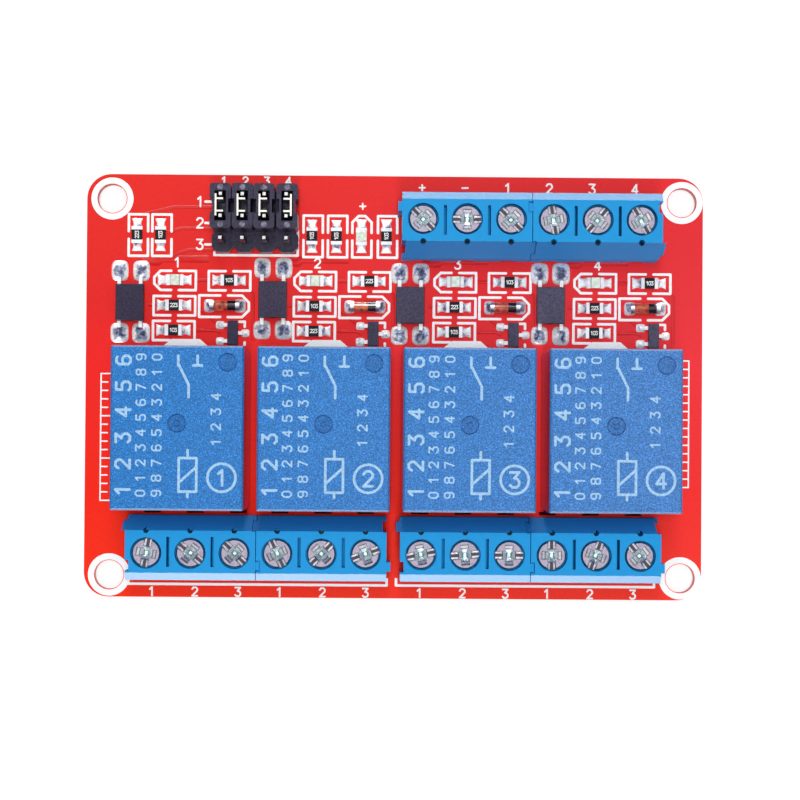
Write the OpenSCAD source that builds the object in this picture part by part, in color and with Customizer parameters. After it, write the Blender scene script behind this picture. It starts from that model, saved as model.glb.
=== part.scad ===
// Four-channel relay module: a red circuit board that carries four cube relays, a front row of
// output terminal blocks, two input terminal blocks, a jumper header and the small parts that
// drive each relay.
// Origin: centre of the mounting-hole pattern, on the board's underside. +X runs along the board,
// +Y from the output terminals to the input terminals, +Z out of the component side.

/* [Board] */
// Length of the board along X
board_l = 73; // [71:0.5:80]
// Thickness of the board
board_t = 1.6; // [1:0.2:2.4]
// Radius of the board's corners
corner_r = 2.9; // [1:0.1:4]
// Diameter of each mounting hole
hole_d = 3.4; // [2.6:0.1:3.8]
// Mounting hole centres to the left edge
hole_inset_left = 2.98; // [2.6:0.02:3.4]
// Mounting hole centres to the right edge
hole_inset_right = 2.52; // [2.4:0.02:3.4]
// Mounting hole centres to the front edge
hole_inset_front = 2.6; // [2.4:0.02:3.4]
// Mounting hole centres to the back edge
hole_inset_back = 2.9; // [2.4:0.02:3.4]
// Front edge of the board to the output terminals
edge_front = 2.35; // [1:0.05:6]
// Back edge of the board to the input terminals
edge_back = 2.65; // [1:0.05:6]
// Output terminals to the relays
relay_setback = 0.5; // [0.3:0.05:3]
// Strip for the small parts, between the relays and the input terminals
strip_d = 10.6; // [10.4:0.1:16]
// Sideways shift of the relay row from the board's middle
row_shift = 0.23; // [-0.8:0.01:0.8]
// Sideways shift of the terminal rows from the board's middle
terminal_shift = -0.03; // [-0.8:0.01:0.8]

/* [Terminal blocks] */
// Distance between two poles of a block
pole_pitch = 5.08; // [5:0.02:5.3]
// Outer pole centre to the end of its block
pole_end = 2.42; // [2.35:0.01:2.6]
// Joint between two blocks that stand side by side
block_gap = 0.08; // [0.06:0.01:0.2]
// Opening between the left and the right pair of blocks
group_gap = 1.55; // [1.2:0.05:3]
// Height of a block above the board
block_h = 10; // [9.6:0.1:12]
// Screw axis to the wire side
front_d = 3.13; // [3:0.01:3.6]
// Screw axis to the rear edge of the flat top
flat_d = 2.6; // [2.4:0.01:2.9]
// Screw axis to the rear face
rear_d = 4.27; // [4:0.01:4.8]
// Bevel along the top of the wire side
block_bevel = 0.85; // [0.3:0.05:1]
// Height at which the rear slope starts
slope_z = 4.5; // [3.5:0.1:6]
// Diameter of the screw wells
well_d = 3.6; // [3.45:0.05:3.8]
// Diameter of the test holes behind the screws
test_d = 0.66; // [0.4:0.02:1]
// Depth of the test holes
test_depth = 4.5; // [1:0.1:5]
// Width of the slots between two poles
slot_w = 0.36; // [0.2:0.02:0.6]
// Length of the slots between two poles
slot_l = 3.44; // [2:0.05:4.4]
// Depth of the slots between two poles
slot_depth = 4; // [1:0.1:6]
// Width of a wire entry
entry_w = 3.2; // [2.6:0.1:3.6]
// Height of a wire entry
entry_h = 3.9; // [3:0.1:4.4]
// Lower edge of a wire entry above the board
entry_z = 1.2; // [0.8:0.1:1.6]
// Width of the arches in the rear foot
arch_w = 2; // [1:0.1:3]
// Depth of the arches in the rear foot
arch_depth = 1; // [0.3:0.1:1.2]
// How far a dovetail rib stands out
rib_out = 0.45; // [0.2:0.05:0.6]
// Width of a dovetail rib at its outer face
rib_w = 1.15; // [0.6:0.05:1.4]
// Width of a dovetail rib at its root
rib_root = 0.85; // [0.4:0.05:1.1]
// Top of the ribs below the top of the block
rib_drop = 0.4; // [0.1:0.1:1]
// Play round a rib in its groove
rib_play = 0.06; // [0.03:0.01:0.15]

/* [Screws and clamps] */
// Diameter of a screw head
head_d = 3.3; // [3:0.05:3.35]
// Height of a screw head
head_h = 1.3; // [1.2:0.05:1.6]
// Top of the head below the top of the block
head_sink = 0.5; // [0.3:0.05:1]
// Diameter of the screw shank
shank_d = 2.5; // [2:0.05:2.7]
// Width of the driver slot and of the cross arms at the top of the head
drive_w = 1; // [0.8:0.05:1.1]
// Width of the driver slot and of the cross arms at their floor
drive_floor = 0.3; // [0.2:0.05:0.5]
// Depth of the driver slot
drive_depth = 0.35; // [0.3:0.05:0.5]
// Length of the cross at the top of the head
cross_l = 2.4; // [1.6:0.1:2.8]
// Depth of the cross in its middle
cross_depth = 0.8; // [0.6:0.05:1]
// Wall under the screw head
ledge_t = 0.45; // [0.3:0.05:0.7]
// Width of the clamp cage
cage_w = 3.7; // [3.3:0.05:3.75]
// Depth of the clamp cage
cage_d = 3.4; // [2.8:0.05:3.5]
// Wall of the cage at its sides
cage_wall = 0.55; // [0.4:0.05:0.8]
// Threaded top wall of the cage
cage_top = 1.2; // [0.8:0.1:1.3]
// Floor of the cage, which pulls the wire up
cage_floor = 0.6; // [0.4:0.05:0.9]
// Underside of the cage above the board
cage_z = 0.6; // [0.3:0.05:0.9]
// Thickness of the conductor strip
strip_t = 0.6; // [0.4:0.05:0.7]
// Width of the conductor strip
strip_w = 2.2; // [1.4:0.1:2.4]
// Width of a terminal's solder pin
tail_w = 1; // [0.6:0.05:1.2]
// Sliding play between moving clamp parts
clamp_play = 0.1; // [0.05:0.01:0.15]

/* [Relays] */
// Width of a relay case at its foot
relay_w = 15.5; // [15.2:0.05:16.2]
// Length of a relay case at its foot
relay_l = 19.1; // [18.9:0.05:20.5]
// Top of the relay above the board
relay_h = 15.4; // [15.2:0.1:17]
// Gap between two relays
relay_gap = 1.1; // [1:0.05:2.5]
// How much each side leans in towards the top
draft = 0.2; // [0:0.02:0.35]
// Radius of the upright edges of the case
case_r = 0.9; // [0.4:0.05:1.2]
// Bevel round the top of the case
case_bevel = 0.22; // [0.1:0.02:0.5]
// Wall of the case
case_wall = 0.9; // [0.8:0.05:1]
// Roof of the case
case_roof = 1; // [0.7:0.05:1.1]
// Case above the board, on the feet of its base
standoff = 0.25; // [0.1:0.05:0.4]
// Diameter of the two marks in the roof
mark_d = 2.15; // [1:0.05:3]
// Diameter of the gate ring in the middle mark
gate_d = 0.8; // [0.5:0.05:1]
// Corner mark to the sides of the case
mark_inset = 2.07; // [1.8:0.01:2.6]
// Middle mark behind the middle of the case
mark_shift = 0.55; // [0:0.05:1]
// Depth of the marks in the roof
mark_depth = 0.16; // [0.1:0.02:0.3]
// Width of the groove round each mark
mark_rim = 0.16; // [0.1:0.02:0.4]
// Depth of the groove round each mark
mark_rim_depth = 0.45; // [0.2:0.05:0.6]
// Thickness of the relay's base
base_t = 1.8; // [1.4:0.1:2]
// Play of the base in the case
base_play = 0.08; // [0.04:0.01:0.15]

/* [Relay mechanism] */
// Thickness of the yoke
yoke_t = 0.9; // [0.7:0.05:1]
// Width of the yoke and the armature
yoke_w = 9.2; // [8:0.1:9.6]
// Height of the bobbin
bobbin_h = 7.9; // [7:0.1:8]
// Width of the bobbin's flanges
flange_w = 9.8; // [9:0.1:10]
// Thickness of the bobbin's flanges
flange_t = 0.8; // [0.5:0.05:1]
// Diameter of the iron core
core_d = 4; // [3:0.1:4.4]
// Wall of the bobbin's tube
tube_wall = 0.65; // [0.4:0.05:0.8]
// Diameter of the coil winding
coil_d = 9; // [7:0.1:9.4]
// Diameter of the pole face
pole_d = 6.4; // [5:0.1:7]
// Thickness of the pole face
pole_t = 0.7; // [0.5:0.05:0.8]
// Gap between the pole face and the open armature
air_gap = 0.45; // [0.43:0.01:0.5]
// Thickness of the armature
armature_t = 0.9; // [0.7:0.05:1]
// Thickness of the contact spring
leaf_t = 0.25; // [0.15:0.05:0.3]
// Width of the contact spring
leaf_w = 3.8; // [2.4:0.1:5]
// Diameter of the contacts
contact_d = 1.8; // [1.2:0.1:2]
// How far the moving contact stands out of its spring
contact_out = 0.33; // [0.3:0.01:0.34]
// Contact opening between the moving and the lower fixed contact
contact_gap = 0.7; // [0.68:0.01:0.8]
// Thickness of the fixed contact blades
blade_t = 0.4; // [0.3:0.05:0.4]
// Width of the fixed contact blades
blade_w = 1.4; // [1:0.1:1.5]
// Diameter of a coil pin
coil_pin_d = 0.6; // [0.5:0.05:0.7]
// Yoke to the rear wall of the case
yoke_back = 0.45; // [0.35:0.05:0.8]
// Bobbin to the yoke
coil_back = 0.3; // [0.2:0.05:0.5]
// Contact and coil pins to the side walls of the case
pin_inset = 1.25; // [1.1:0.05:1.35]
// Contact pins to the front wall of the case
blade_inset = 1.85; // [1.6:0.05:2.1]
// Contacts behind their pins
contact_ahead = 0.6; // [0.5:0.05:0.8]
// Coil pins behind the coil's axis
coil_pin_back = 3.2; // [2.8:0.1:3.6]
// Distance between the two rivets of the contact spring
rivet_apart = 3; // [2.4:0.1:3.6]
// Diameter of a rivet
rivet_d = 1; // [0.8:0.05:1.2]
// Diameter of a rivet's head
rivet_head_d = 1.8; // [1.4:0.1:2.2]
// Height of a rivet's head
rivet_head_h = 0.3; // [0.2:0.05:0.4]
// Spring behind its rear rivet and ahead of the contact
leaf_margin = 1.3; // [1:0.1:1.5]

/* [Header and jumpers] */
// Distance between two header pins
header_pitch = 2.54; // [2.5:0.01:2.6]
// Columns of the header
header_columns = 4; // [2:1:4]
// Height of the header's plastic
header_h = 2.5; // [2:0.1:3]
// Width of a square header pin
pin_w = 0.64; // [0.5:0.02:0.7]
// Header pins above their plastic
pin_up = 6; // [5:0.1:7]
// Centre of the header, left of the terminal rows' middle
header_offset = 16.49; // [16:0.02:17.5]
// Centre of the header to the board's back edge
header_inset = 5.48; // [4.6:0.02:6]
// Width of a jumper cap
cap_w = 2.44; // [2.2:0.02:2.48]
// Length of a jumper cap
cap_l = 5.2; // [4.9:0.05:5.4]
// How far the waist of a cap is drawn in on each side
cap_waist = 0.3; // [0.1:0.02:0.4]
// Length of the waist of a cap
cap_waist_l = 1.6; // [1:0.1:2]
// Cap above the tips of the pins
cap_over = 0.15; // [0.05:0.05:0.5]
// Bevel at both tips of a header pin
tip_bevel = 0.14; // [0.05:0.01:0.2]
// Thickness of the metal in a jumper
clip_t = 0.2; // [0.16:0.02:0.3]
// Length of the back of that metal, from pin to pin
clip_l = 2.55; // [2:0.05:2.8]
// Play between the legs of that metal and the pins
clip_play = 0.03; // [0.02:0.01:0.06]
// How far those legs lean in at their top
clip_lean = 0.1; // [0:0.02:0.2]
// Diameter of the sunk mark in each end of a cap
cap_mark_d = 0.7; // [0.4:0.05:0.8]
// Depth of that mark
cap_mark_t = 0.25; // [0.1:0.05:0.5]

/* [Small parts] */
// Length of a chip resistor or light
chip_l = 2; // [1.8:0.05:2.2]
// Width of a chip
chip_w = 1.25; // [1:0.05:1.4]
// Height of a chip resistor
chip_h = 0.5; // [0.4:0.05:0.7]
// Height of a chip light
led_h = 0.8; // [0.6:0.05:1.1]
// Length of each metal end of a chip
chip_end = 0.4; // [0.2:0.05:0.5]
// Middle of the upright chips beside the header to the board's back edge
row_inset = 7.19; // [6:0.01:8]
// Width of an optocoupler
opto_w = 3.4; // [3:0.05:3.6]
// Length of an optocoupler's body
opto_l = 4.4; // [3.8:0.05:4.6]
// Height of an optocoupler
opto_h = 2; // [1.6:0.1:2.4]
// Span over an optocoupler's leads
opto_span = 7; // [6.4:0.1:7.4]
// Diameter of a glass diode
diode_d = 1.35; // [1.1:0.05:1.5]
// Length of a glass diode
diode_l = 3.5; // [3.2:0.05:3.8]
// Length of each metal end of a diode
diode_end = 0.45; // [0.3:0.05:0.6]
// Width of a transistor's body
sot_w = 1.3; // [1.1:0.05:1.5]
// Length of a transistor's body
sot_l = 2.9; // [2.6:0.05:3]
// Height of a transistor's body
sot_h = 1; // [0.8:0.05:1.2]
// Span over a transistor's leads
sot_span = 2.9; // [2.4:0.1:3.2]

/* [Soldering] */
// Terminal pins below the board, which the module stands on
tail_below = 1.5; // [1.2:0.1:2.5]
// Relay and header pins below the board
pin_below = 1.2; // [0.8:0.1:1.2]
// Play of a pin in its board hole
pin_play = 0.12; // [0.05:0.01:0.2]
// Width of the solder ring round a pin
solder_ring = 0.45; // [0.2:0.05:0.5]
// Height of the solder below the board
solder_h = 0.8; // [0.4:0.05:1]

/* [Hidden] */
$fn = 48;
eps = 0.01;                 // overlap that makes two shapes of one solid join
seat = 0.05;                // gap between two pieces that rest on each other
channels = 4;
poles = 3;
header_rows = 3;

// Board outline. The width is what its rows of parts add up to.
block_d = front_d + rear_d;
board_w = edge_front + block_d + relay_setback + relay_l + strip_d + block_d + edge_back;
span_x = board_l - hole_inset_left - hole_inset_right;
span_y = board_w - hole_inset_front - hole_inset_back;
board_x0 = -span_x / 2 - hole_inset_left;
board_y0 = -span_y / 2 - hole_inset_front;
board_xm = board_x0 + board_l / 2;
board_y1 = board_y0 + board_w;

// Relay row and the strip behind it
relay_pitch = relay_w + relay_gap;
relay_y = board_y0 + edge_front + block_d + relay_setback + relay_l / 2;
strip_y0 = relay_y + relay_l / 2;
function relay_x(c) = board_xm + row_shift + (c - (channels - 1) / 2) * relay_pitch;

// Terminal rows. Blocks 0 to 3 are outputs, 4 and 5 are inputs and face the other way.
block_l = (poles - 1) * pole_pitch + 2 * pole_end;
block_step = block_l + block_gap;
output_y = board_y0 + edge_front + front_d;
input_y = board_y1 - edge_back - front_d;
terminal_xm = board_xm + terminal_shift;
function block_x(b) = b < 2 ? terminal_xm - group_gap / 2 - block_l / 2 - (1 - b) * block_step
                            : terminal_xm + group_gap / 2 + block_l / 2 + (b % 2) * block_step;
function block_y(b) = b < channels ? output_y : input_y;
function block_turn(b) = b < channels ? 0 : 180;
function pole_x(p) = (p - (poles - 1) / 2) * pole_pitch;
// How far each screw happens to be turned, from left to right along each row
SCREW_TURN = [[80, 142, 135], [115, 45, 20], [12, 5, 0], [90, 70, 130], [135, 0, 135], [100, 50, 120]];

// Heights inside a terminal block, above the board
head_z = block_h - head_sink - head_h;
ledge_z = head_z - seat;
chamber_top = ledge_z - ledge_t;
cage_h = chamber_top - clamp_play - cage_z;
chamber_w = cage_w + 2 * clamp_play;
chamber_front = cage_d / 2 + clamp_play;
strip_top = cage_z + cage_h - cage_top - 0.75;
leg_y = cage_d / 2 + clamp_play;
chamber_rear = leg_y + strip_t + clamp_play;
rib_front_y = -1.44;
rib_rear_y = 3.15;

// Heights inside a relay, above the board
base_top = standoff + base_t;
inner_w = relay_w - 2 * case_wall;
inner_l = relay_l - 2 * case_wall;
foot_z = base_top + seat;
bobbin_z = foot_z + yoke_t + seat;
pole_z = bobbin_z + bobbin_h + seat;
pivot_z = pole_z + pole_t + air_gap;
pivot_y = inner_l / 2 - yoke_back - yoke_t;
coil_y = pivot_y - coil_back - flange_w / 2;
leaf_z = pivot_z + armature_t;
blade_x = inner_w / 2 - pin_inset;
blade_y = -inner_l / 2 + blade_inset;
contact_y = blade_y + contact_ahead;
coil_pin_y = coil_y + coil_pin_back;
RIVETS = [coil_y - rivet_apart / 2, coil_y + rivet_apart / 2];
upper_contact_z = leaf_z + leaf_t + contact_out + 0.02;
lower_contact_z = leaf_z - contact_out - contact_gap;
button_t = 0.22;

// Header
header_x = terminal_xm - header_offset;
header_y = board_y1 - header_inset;
pin_top = board_t + header_h + pin_up;
cap_z = board_t + header_h + seat;
cap_top = pin_top + cap_over;
function header_pin(c, r) = [header_x + (c - (header_columns - 1) / 2) * header_pitch,
                             header_y + (r - (header_rows - 1) / 2) * header_pitch];
// The caps sit on the two back rows; the last one is put on the other way round. Each has a
// little play on its pins and hangs a touch towards the front, the last one to the right too.
CAP_TURN = [0, 0, 0, 180];
CAP_SLIP = [[0, -0.12], [0.02, -0.1], [-0.02, -0.12], [0.12, -0.12]];

// Small parts of one channel: place from the relay's middle and from the strip's front edge
OPTO_AT = [-6.6, 5.4];
OPTO_DRIFT = [[0, 0], [0.25, 0.45], [-0.1, -0.1], [-0.1, 0]];
OPTO_PITCH = 2.54;
LED_AT = [-1.35, 8.15];
CHANNEL_RESISTORS = [[5.05, 8.15], [-1.45, 5.15], [-1.5, 2.2]];
DIODE_AT = [4.55, 5.13];
SOT_AT = [5.54, 1.9];
// Upright chips beside the header: sideways place from the header's middle
row_y = board_y1 - row_inset;
ROW_RESISTORS = [-14.03, -11.25, 6.66, 9.56, 15.48];
ROW_LED = 12.52;

// ---------------------------------------------------------------- helpers

// Box with its middle at x = y = 0 and its foot at z = 0
module block(size) {
  translate([-size[0] / 2, -size[1] / 2, 0]) cube(size);
}

// Flat rectangle with round corners, about its middle
module rounded_rect(l, w, r) {
  square([l - 2 * r, w], center = true);
  square([l, w - 2 * r], center = true);
  for (x = [-1, 1], y = [-1, 1]) translate([x * (l / 2 - r), y * (w / 2 - r)]) circle(r = r);
}

// A flat outline drawn in the Y-Z plane, pulled out along X about the middle
module along_x(l) {
  rotate([90, 0, 90]) translate([0, 0, -l / 2]) linear_extrude(l) children();
}

// A flat outline drawn in the X-Z plane, pulled out along Y about the middle
module along_y(l) {
  rotate([90, 0, 0]) translate([0, 0, -l / 2]) linear_extrude(l) children();
}

// Everything of one relay, one terminal block or one channel stands in these places
module at_relay(c) { translate([relay_x(c), relay_y, board_t]) children(); }
module at_block(b) {
  translate([block_x(b), block_y(b), board_t]) rotate([0, 0, block_turn(b)]) children();
}
module at_channel(c, place) {
  translate([relay_x(c) + place[0], strip_y0 + place[1], board_t]) children();
}

// ---------------------------------------------------------------- board

// Places of the through holes: relay pins, terminal tails and header pins
RELAY_PINS = [[blade_x, blade_y], [-blade_x, blade_y], [blade_x, coil_pin_y],
              [-blade_x, coil_pin_y], [0, pivot_y + yoke_t / 2]];
tail_hole_d = norm([tail_w, strip_t]) + pin_play;
relay_hole_d = norm([tail_w, blade_t]) + pin_play;
header_hole_d = pin_w * sqrt(2) + pin_play;
tail_y = leg_y + strip_t / 2;

module at_relay_pins() {
  for (c = [0:channels - 1], p = RELAY_PINS) translate([relay_x(c) + p[0], relay_y + p[1], 0]) children();
}
module at_tails() {
  for (b = [0:5], p = [0:poles - 1])
    translate([block_x(b) + pole_x(p), block_y(b) + (b < channels ? tail_y : -tail_y), 0]) children();
}
module at_header_pins() {
  for (c = [0:header_columns - 1], r = [0:header_rows - 1]) translate(header_pin(c, r)) children();
}

module circuit_board() {
  color("red") difference() {
    translate([board_xm, board_y0 + board_w / 2, 0])
      linear_extrude(board_t) rounded_rect(board_l, board_w, corner_r);
    for (x = [-1, 1], y = [-1, 1]) translate([x * span_x / 2, y * span_y / 2, -1])
      cylinder(d = hole_d, h = board_t + 2);
    translate([0, 0, -1]) {
      at_relay_pins() cylinder(d = relay_hole_d, h = board_t + 2, $fn = 24);
      at_tails() cylinder(d = tail_hole_d, h = board_t + 2, $fn = 24);
      at_header_pins() cylinder(d = header_hole_d, h = board_t + 2, $fn = 24);
    }
  }
}

// A solder fillet that climbs down a pin from the board's underside
module solder_ring(bore_d) {
  rotate_extrude($fn = 32) polygon([
    [bore_d / 2, 0], [bore_d / 2 + solder_ring, 0], [bore_d / 2 + solder_ring * 0.55, -solder_h * 0.3],
    [bore_d / 2 + solder_ring * 0.25, -solder_h * 0.65], [bore_d / 2 + 0.05, -solder_h],
    [bore_d / 2, -solder_h]
  ]);
}

module solder_joints() {
  color("silver") {
    at_relay_pins() solder_ring(relay_hole_d);
    at_tails() solder_ring(tail_hole_d);
    at_header_pins() solder_ring(header_hole_d);
  }
}

// ---------------------------------------------------------------- terminal blocks

// Cross-section of a block: straight wire side, bevel, flat top, slope down to the rear foot
module block_outline() {
  polygon([
    [-front_d, 0], [-front_d, block_h - block_bevel], [-front_d + block_bevel, block_h],
    [flat_d, block_h], [rear_d, slope_z], [rear_d, 0]
  ]);
}

// Dovetail prism that stands out of the right end at depth y
module dovetail(y) {
  translate([block_l / 2, y, 0]) linear_extrude(block_h) polygon([
    [-0.3, -rib_root / 2], [rib_out, -rib_w / 2], [rib_out, rib_w / 2], [-0.3, rib_root / 2]
  ]);
}

// Front rib on the right end and rear rib on the left end, under the sloping outline
module block_ribs() {
  intersection() {
    along_x(block_l + 4) translate([0, -rib_drop]) block_outline();
    union() {
      dovetail(rib_front_y);
      mirror([1, 0, 0]) dovetail(rib_rear_y);
    }
  }
}

// Room for one pole: screw well, clamp chamber, wire entry, test hole and rear arch
module pole_cut() {
  translate([0, 0, ledge_z]) cylinder(d = well_d, h = block_h);
  translate([0, 0, chamber_top - 1]) cylinder(d = shank_d + 4 * clamp_play, h = block_h);
  translate([-chamber_w / 2, -chamber_front, -1]) cube([chamber_w, chamber_front + chamber_rear, chamber_top + 1]);
  translate([-entry_w / 2, -front_d - 1, entry_z]) cube([entry_w, front_d, entry_h]);
  translate([0, flat_d, block_h - test_depth]) cylinder(d = test_d, h = test_depth + 1, $fn = 24);
  translate([-arch_w / 2, rear_d - arch_depth, -1]) cube([arch_w, arch_depth + 1, 1.6]);
  translate([0, rear_d + 1, 0.6]) rotate([90, 0, 0]) cylinder(d = arch_w, h = arch_depth + 1);
}

module terminal_housing() {
  color("dodgerblue") difference() {
    union() {
      along_x(block_l) block_outline();
      block_ribs();
    }
    for (p = [0:poles - 1]) translate([pole_x(p), 0, 0]) pole_cut();
    for (p = [0:poles - 2]) translate([pole_x(p) + pole_pitch / 2, 0.15, block_h - slot_depth])
      block([slot_w, slot_l, slot_depth + 1]);
    rib_grooves();
  }
}

// Grooves that take a neighbour's ribs: rear one on the right end, front one on the left end
module rib_grooves() {
  groove(rib_rear_y);
  mirror([1, 0, 0]) groove(rib_front_y);
}

module groove(y) {
  translate([block_l / 2 + block_gap, y, -1]) linear_extrude(block_h + 2) polygon([
    [1, -rib_root / 2 - rib_play], [-rib_out - rib_play, -rib_w / 2 - rib_play],
    [-rib_out - rib_play, rib_w / 2 + rib_play], [1, rib_root / 2 + rib_play]
  ]);
}

// Groove along X below z = 0 with walls that lean out to drive_w at the top
module tapered_groove(l, depth) {
  lean = (drive_w - drive_floor) / 2 / depth;
  along_x(l) polygon([
    [-drive_floor / 2, -depth], [drive_floor / 2, -depth], [drive_w / 2 + lean, 1], [-drive_w / 2 - lean, 1]
  ]);
}

// One arm of the cross, whose ends slope down to the deep middle
module cross_arm() {
  lean = (cross_l - drive_floor) / 2 / cross_depth;
  intersection() {
    tapered_groove(cross_l + 4, cross_depth);
    along_y(cross_l + 4) polygon([
      [-drive_floor / 2, -cross_depth], [drive_floor / 2, -cross_depth],
      [cross_l / 2 + lean, 1], [-cross_l / 2 - lean, 1]
    ]);
  }
}

module terminal_screw() {
  color("silver") difference() {
    union() {
      translate([0, 0, head_z]) cylinder(d = head_d, h = head_h - 0.15);
      translate([0, 0, head_z + head_h - 0.15]) cylinder(d1 = head_d, d2 = head_d - 0.3, h = 0.15);
      translate([0, 0, strip_top + seat]) cylinder(d = shank_d, h = head_z - strip_top);
    }
    translate([0, 0, head_z + head_h]) {
      tapered_groove(head_d + 1, drive_depth);
      cross_arm();
      rotate(90) cross_arm();
    }
  }
}

module terminal_screws() {
  for (b = [0:5], p = [0:poles - 1])
    translate([block_x(b) + pole_x(p), block_y(b), board_t]) rotate([0, 0, SCREW_TURN[b][p]]) terminal_screw();
}

// Rising cage: the screw turns in its top wall and pulls the floor and the wire up to the strip
module wire_clamp() {
  color("gainsboro") difference() {
    translate([0, 0, cage_z]) block([cage_w, cage_d, cage_h]);
    translate([0, 0, cage_z + cage_floor])
      block([cage_w - 2 * cage_wall, cage_d + 1, cage_h - cage_floor - cage_top]);
    translate([0, 0, cage_z]) translate([0, 0, cage_floor + eps]) cylinder(d = shank_d + 0.04, h = cage_h);
  }
}

module wire_clamps() {
  for (b = [0:5]) at_block(b) for (p = [0:poles - 1]) translate([pole_x(p), 0, 0]) wire_clamp();
}

// Bent strip: a tongue inside the cage under the screw, a leg behind the cage, and the solder tail
module terminal_pin() {
  color("gainsboro") {
    translate([-strip_w / 2, -cage_d / 2 + 0.3, strip_top - strip_t])
      cube([strip_w, cage_d / 2 - 0.3 + leg_y + strip_t, strip_t]);
    translate([-strip_w / 2, leg_y, seat]) cube([strip_w, strip_t, strip_top - seat]);
    translate([-tail_w / 2, leg_y, -board_t - tail_below]) cube([tail_w, strip_t, board_t + tail_below + 1]);
  }
}

module terminal_pins(first, last) {
  for (b = [first:last]) at_block(b) for (p = [0:poles - 1]) translate([pole_x(p), 0, 0]) terminal_pin();
}

// ---------------------------------------------------------------- header and jumpers

module header_base() {
  l = header_columns * header_pitch;
  w = header_rows * header_pitch;
  notch = header_pitch * 0.34;
  color([0.12, 0.12, 0.14]) difference() {
    translate([header_x, header_y, board_t + seat]) linear_extrude(header_h - seat) difference() {
      square([l, w], center = true);
      for (c = [0:header_columns], y = [-w / 2, w / 2])
        translate([(c - header_columns / 2) * header_pitch, y]) rotate(45) square(notch, center = true);
      for (r = [0:header_rows], x = [-l / 2, l / 2])
        translate([x, (r - header_rows / 2) * header_pitch]) rotate(45) square(notch, center = true);
    }
    at_header_pins() translate([0, 0, board_t - 1]) block([pin_w + 0.02, pin_w + 0.02, header_h + 2]);
  }
}

// Square pin with all four edges of both tips bevelled
module header_pin_solid() {
  tip = tip_bevel;
  h = pin_top + pin_below;
  module side() {
    polygon([
      [-pin_w / 2, tip * 2], [-pin_w / 2 + tip, 0], [pin_w / 2 - tip, 0], [pin_w / 2, tip * 2],
      [pin_w / 2, h - tip * 2], [pin_w / 2 - tip, h], [-pin_w / 2 + tip, h], [-pin_w / 2, h - tip * 2]
    ]);
  }
  translate([0, 0, -pin_below]) intersection() {
    along_x(pin_w) side();
    along_y(pin_w) side();
  }
}

module header_pins() {
  color("gold") at_header_pins() header_pin_solid();
}

// Outline of a cap from above: two lobes with a waist between them
module cap_outline() {
  difference() {
    rounded_rect(cap_w, cap_l, 0.35);
    for (x = [-1, 1]) translate([x * cap_w / 2, 0]) square([2 * cap_waist, cap_waist_l], center = true);
  }
}

pocket_w = pin_w + 0.3 + 2 * clip_t;
pocket_l = header_pitch + pin_w + 0.3;

module jumper_cap() {
  color([0.1, 0.1, 0.12]) difference() {
    translate([0, 0, cap_z]) linear_extrude(cap_top - cap_z) cap_outline();
    translate([0, 0, cap_z - 1]) block([pocket_w, pocket_l, cap_top - cap_z + 2]);
    for (y = [-1, 1]) translate([0, y * (cap_l + pocket_l) / 4, cap_top - cap_mark_t])
      cylinder(d = cap_mark_d, h = 1, $fn = 24);
  }
}

// Folded strip in the pocket: a back along one wall and two spring legs that lean on the pins
module jumper_clip() {
  h = cap_top - cap_z - 0.9;
  foot = (header_pitch - pin_w) / 2 - clip_play;
  color("silver") translate([-pocket_w / 2 + 0.02, 0, cap_z + 0.6]) {
    translate([0, -clip_l / 2, 0]) cube([clip_t, clip_l, h]);
    for (m = [0, 1]) mirror([0, m, 0]) translate([pocket_w * 0.36, 0, 0]) along_x(pocket_w * 0.72) polygon([
      [foot - clip_t, 0], [foot, 0], [foot, h * 0.4], [foot - clip_lean, h], [foot - clip_lean - clip_t, h],
      [foot - clip_t, h * 0.4]
    ]);
  }
}

module at_cap(c) {
  front = header_pin(c, header_rows - 2);
  back = header_pin(c, header_rows - 1);
  translate((front + back) / 2) rotate([0, 0, CAP_TURN[c]]) children();
}

// Plastic of cap c, which slips a little on its pins
module at_slipped_cap(c) { translate(CAP_SLIP[c]) at_cap(c) children(); }

module jumper_clips() {
  for (c = [0:header_columns - 1]) at_cap(c) jumper_clip();
}

// ---------------------------------------------------------------- relays

// Side of the case: it leans in by the draft and has a small bevel round the roof
module case_side(w) {
  h = relay_h - standoff;
  top = w / 2 - draft;
  polygon([
    [-w / 2, 0], [w / 2, 0], [top, h - case_bevel], [top - case_bevel, h],
    [-top + case_bevel, h], [-top, h - case_bevel]
  ]);
}

module relay_case() {
  color("royalblue") translate([0, 0, standoff]) difference() {
    intersection() {
      linear_extrude(relay_h - standoff) rounded_rect(relay_w, relay_l, case_r);
      along_x(relay_w + 2) case_side(relay_l);
      along_y(relay_l + 2) case_side(relay_w);
    }
    translate([0, 0, -1]) block([inner_w, inner_l, relay_h - standoff - case_roof + 1]);
    translate([relay_w / 2 - mark_inset, relay_l / 2 - mark_inset, relay_h - standoff]) roof_mark();
    translate([0, mark_shift, relay_h - standoff]) {
      roof_mark();
      ring_groove(gate_d, mark_rim);
    }
  }
}

// Round groove below z = 0, of a given outer diameter and width
module ring_groove(d, w) {
  translate([0, 0, -mark_rim_depth]) difference() {
    cylinder(d = d, h = mark_rim_depth + 1);
    translate([0, 0, -1]) cylinder(d = d - 2 * w, h = mark_rim_depth + 3);
  }
}

// Sunk disc with a deeper groove along its rim
module roof_mark() {
  translate([0, 0, -mark_depth]) cylinder(d = mark_d, h = 1);
  ring_groove(mark_d, mark_rim);
}

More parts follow.
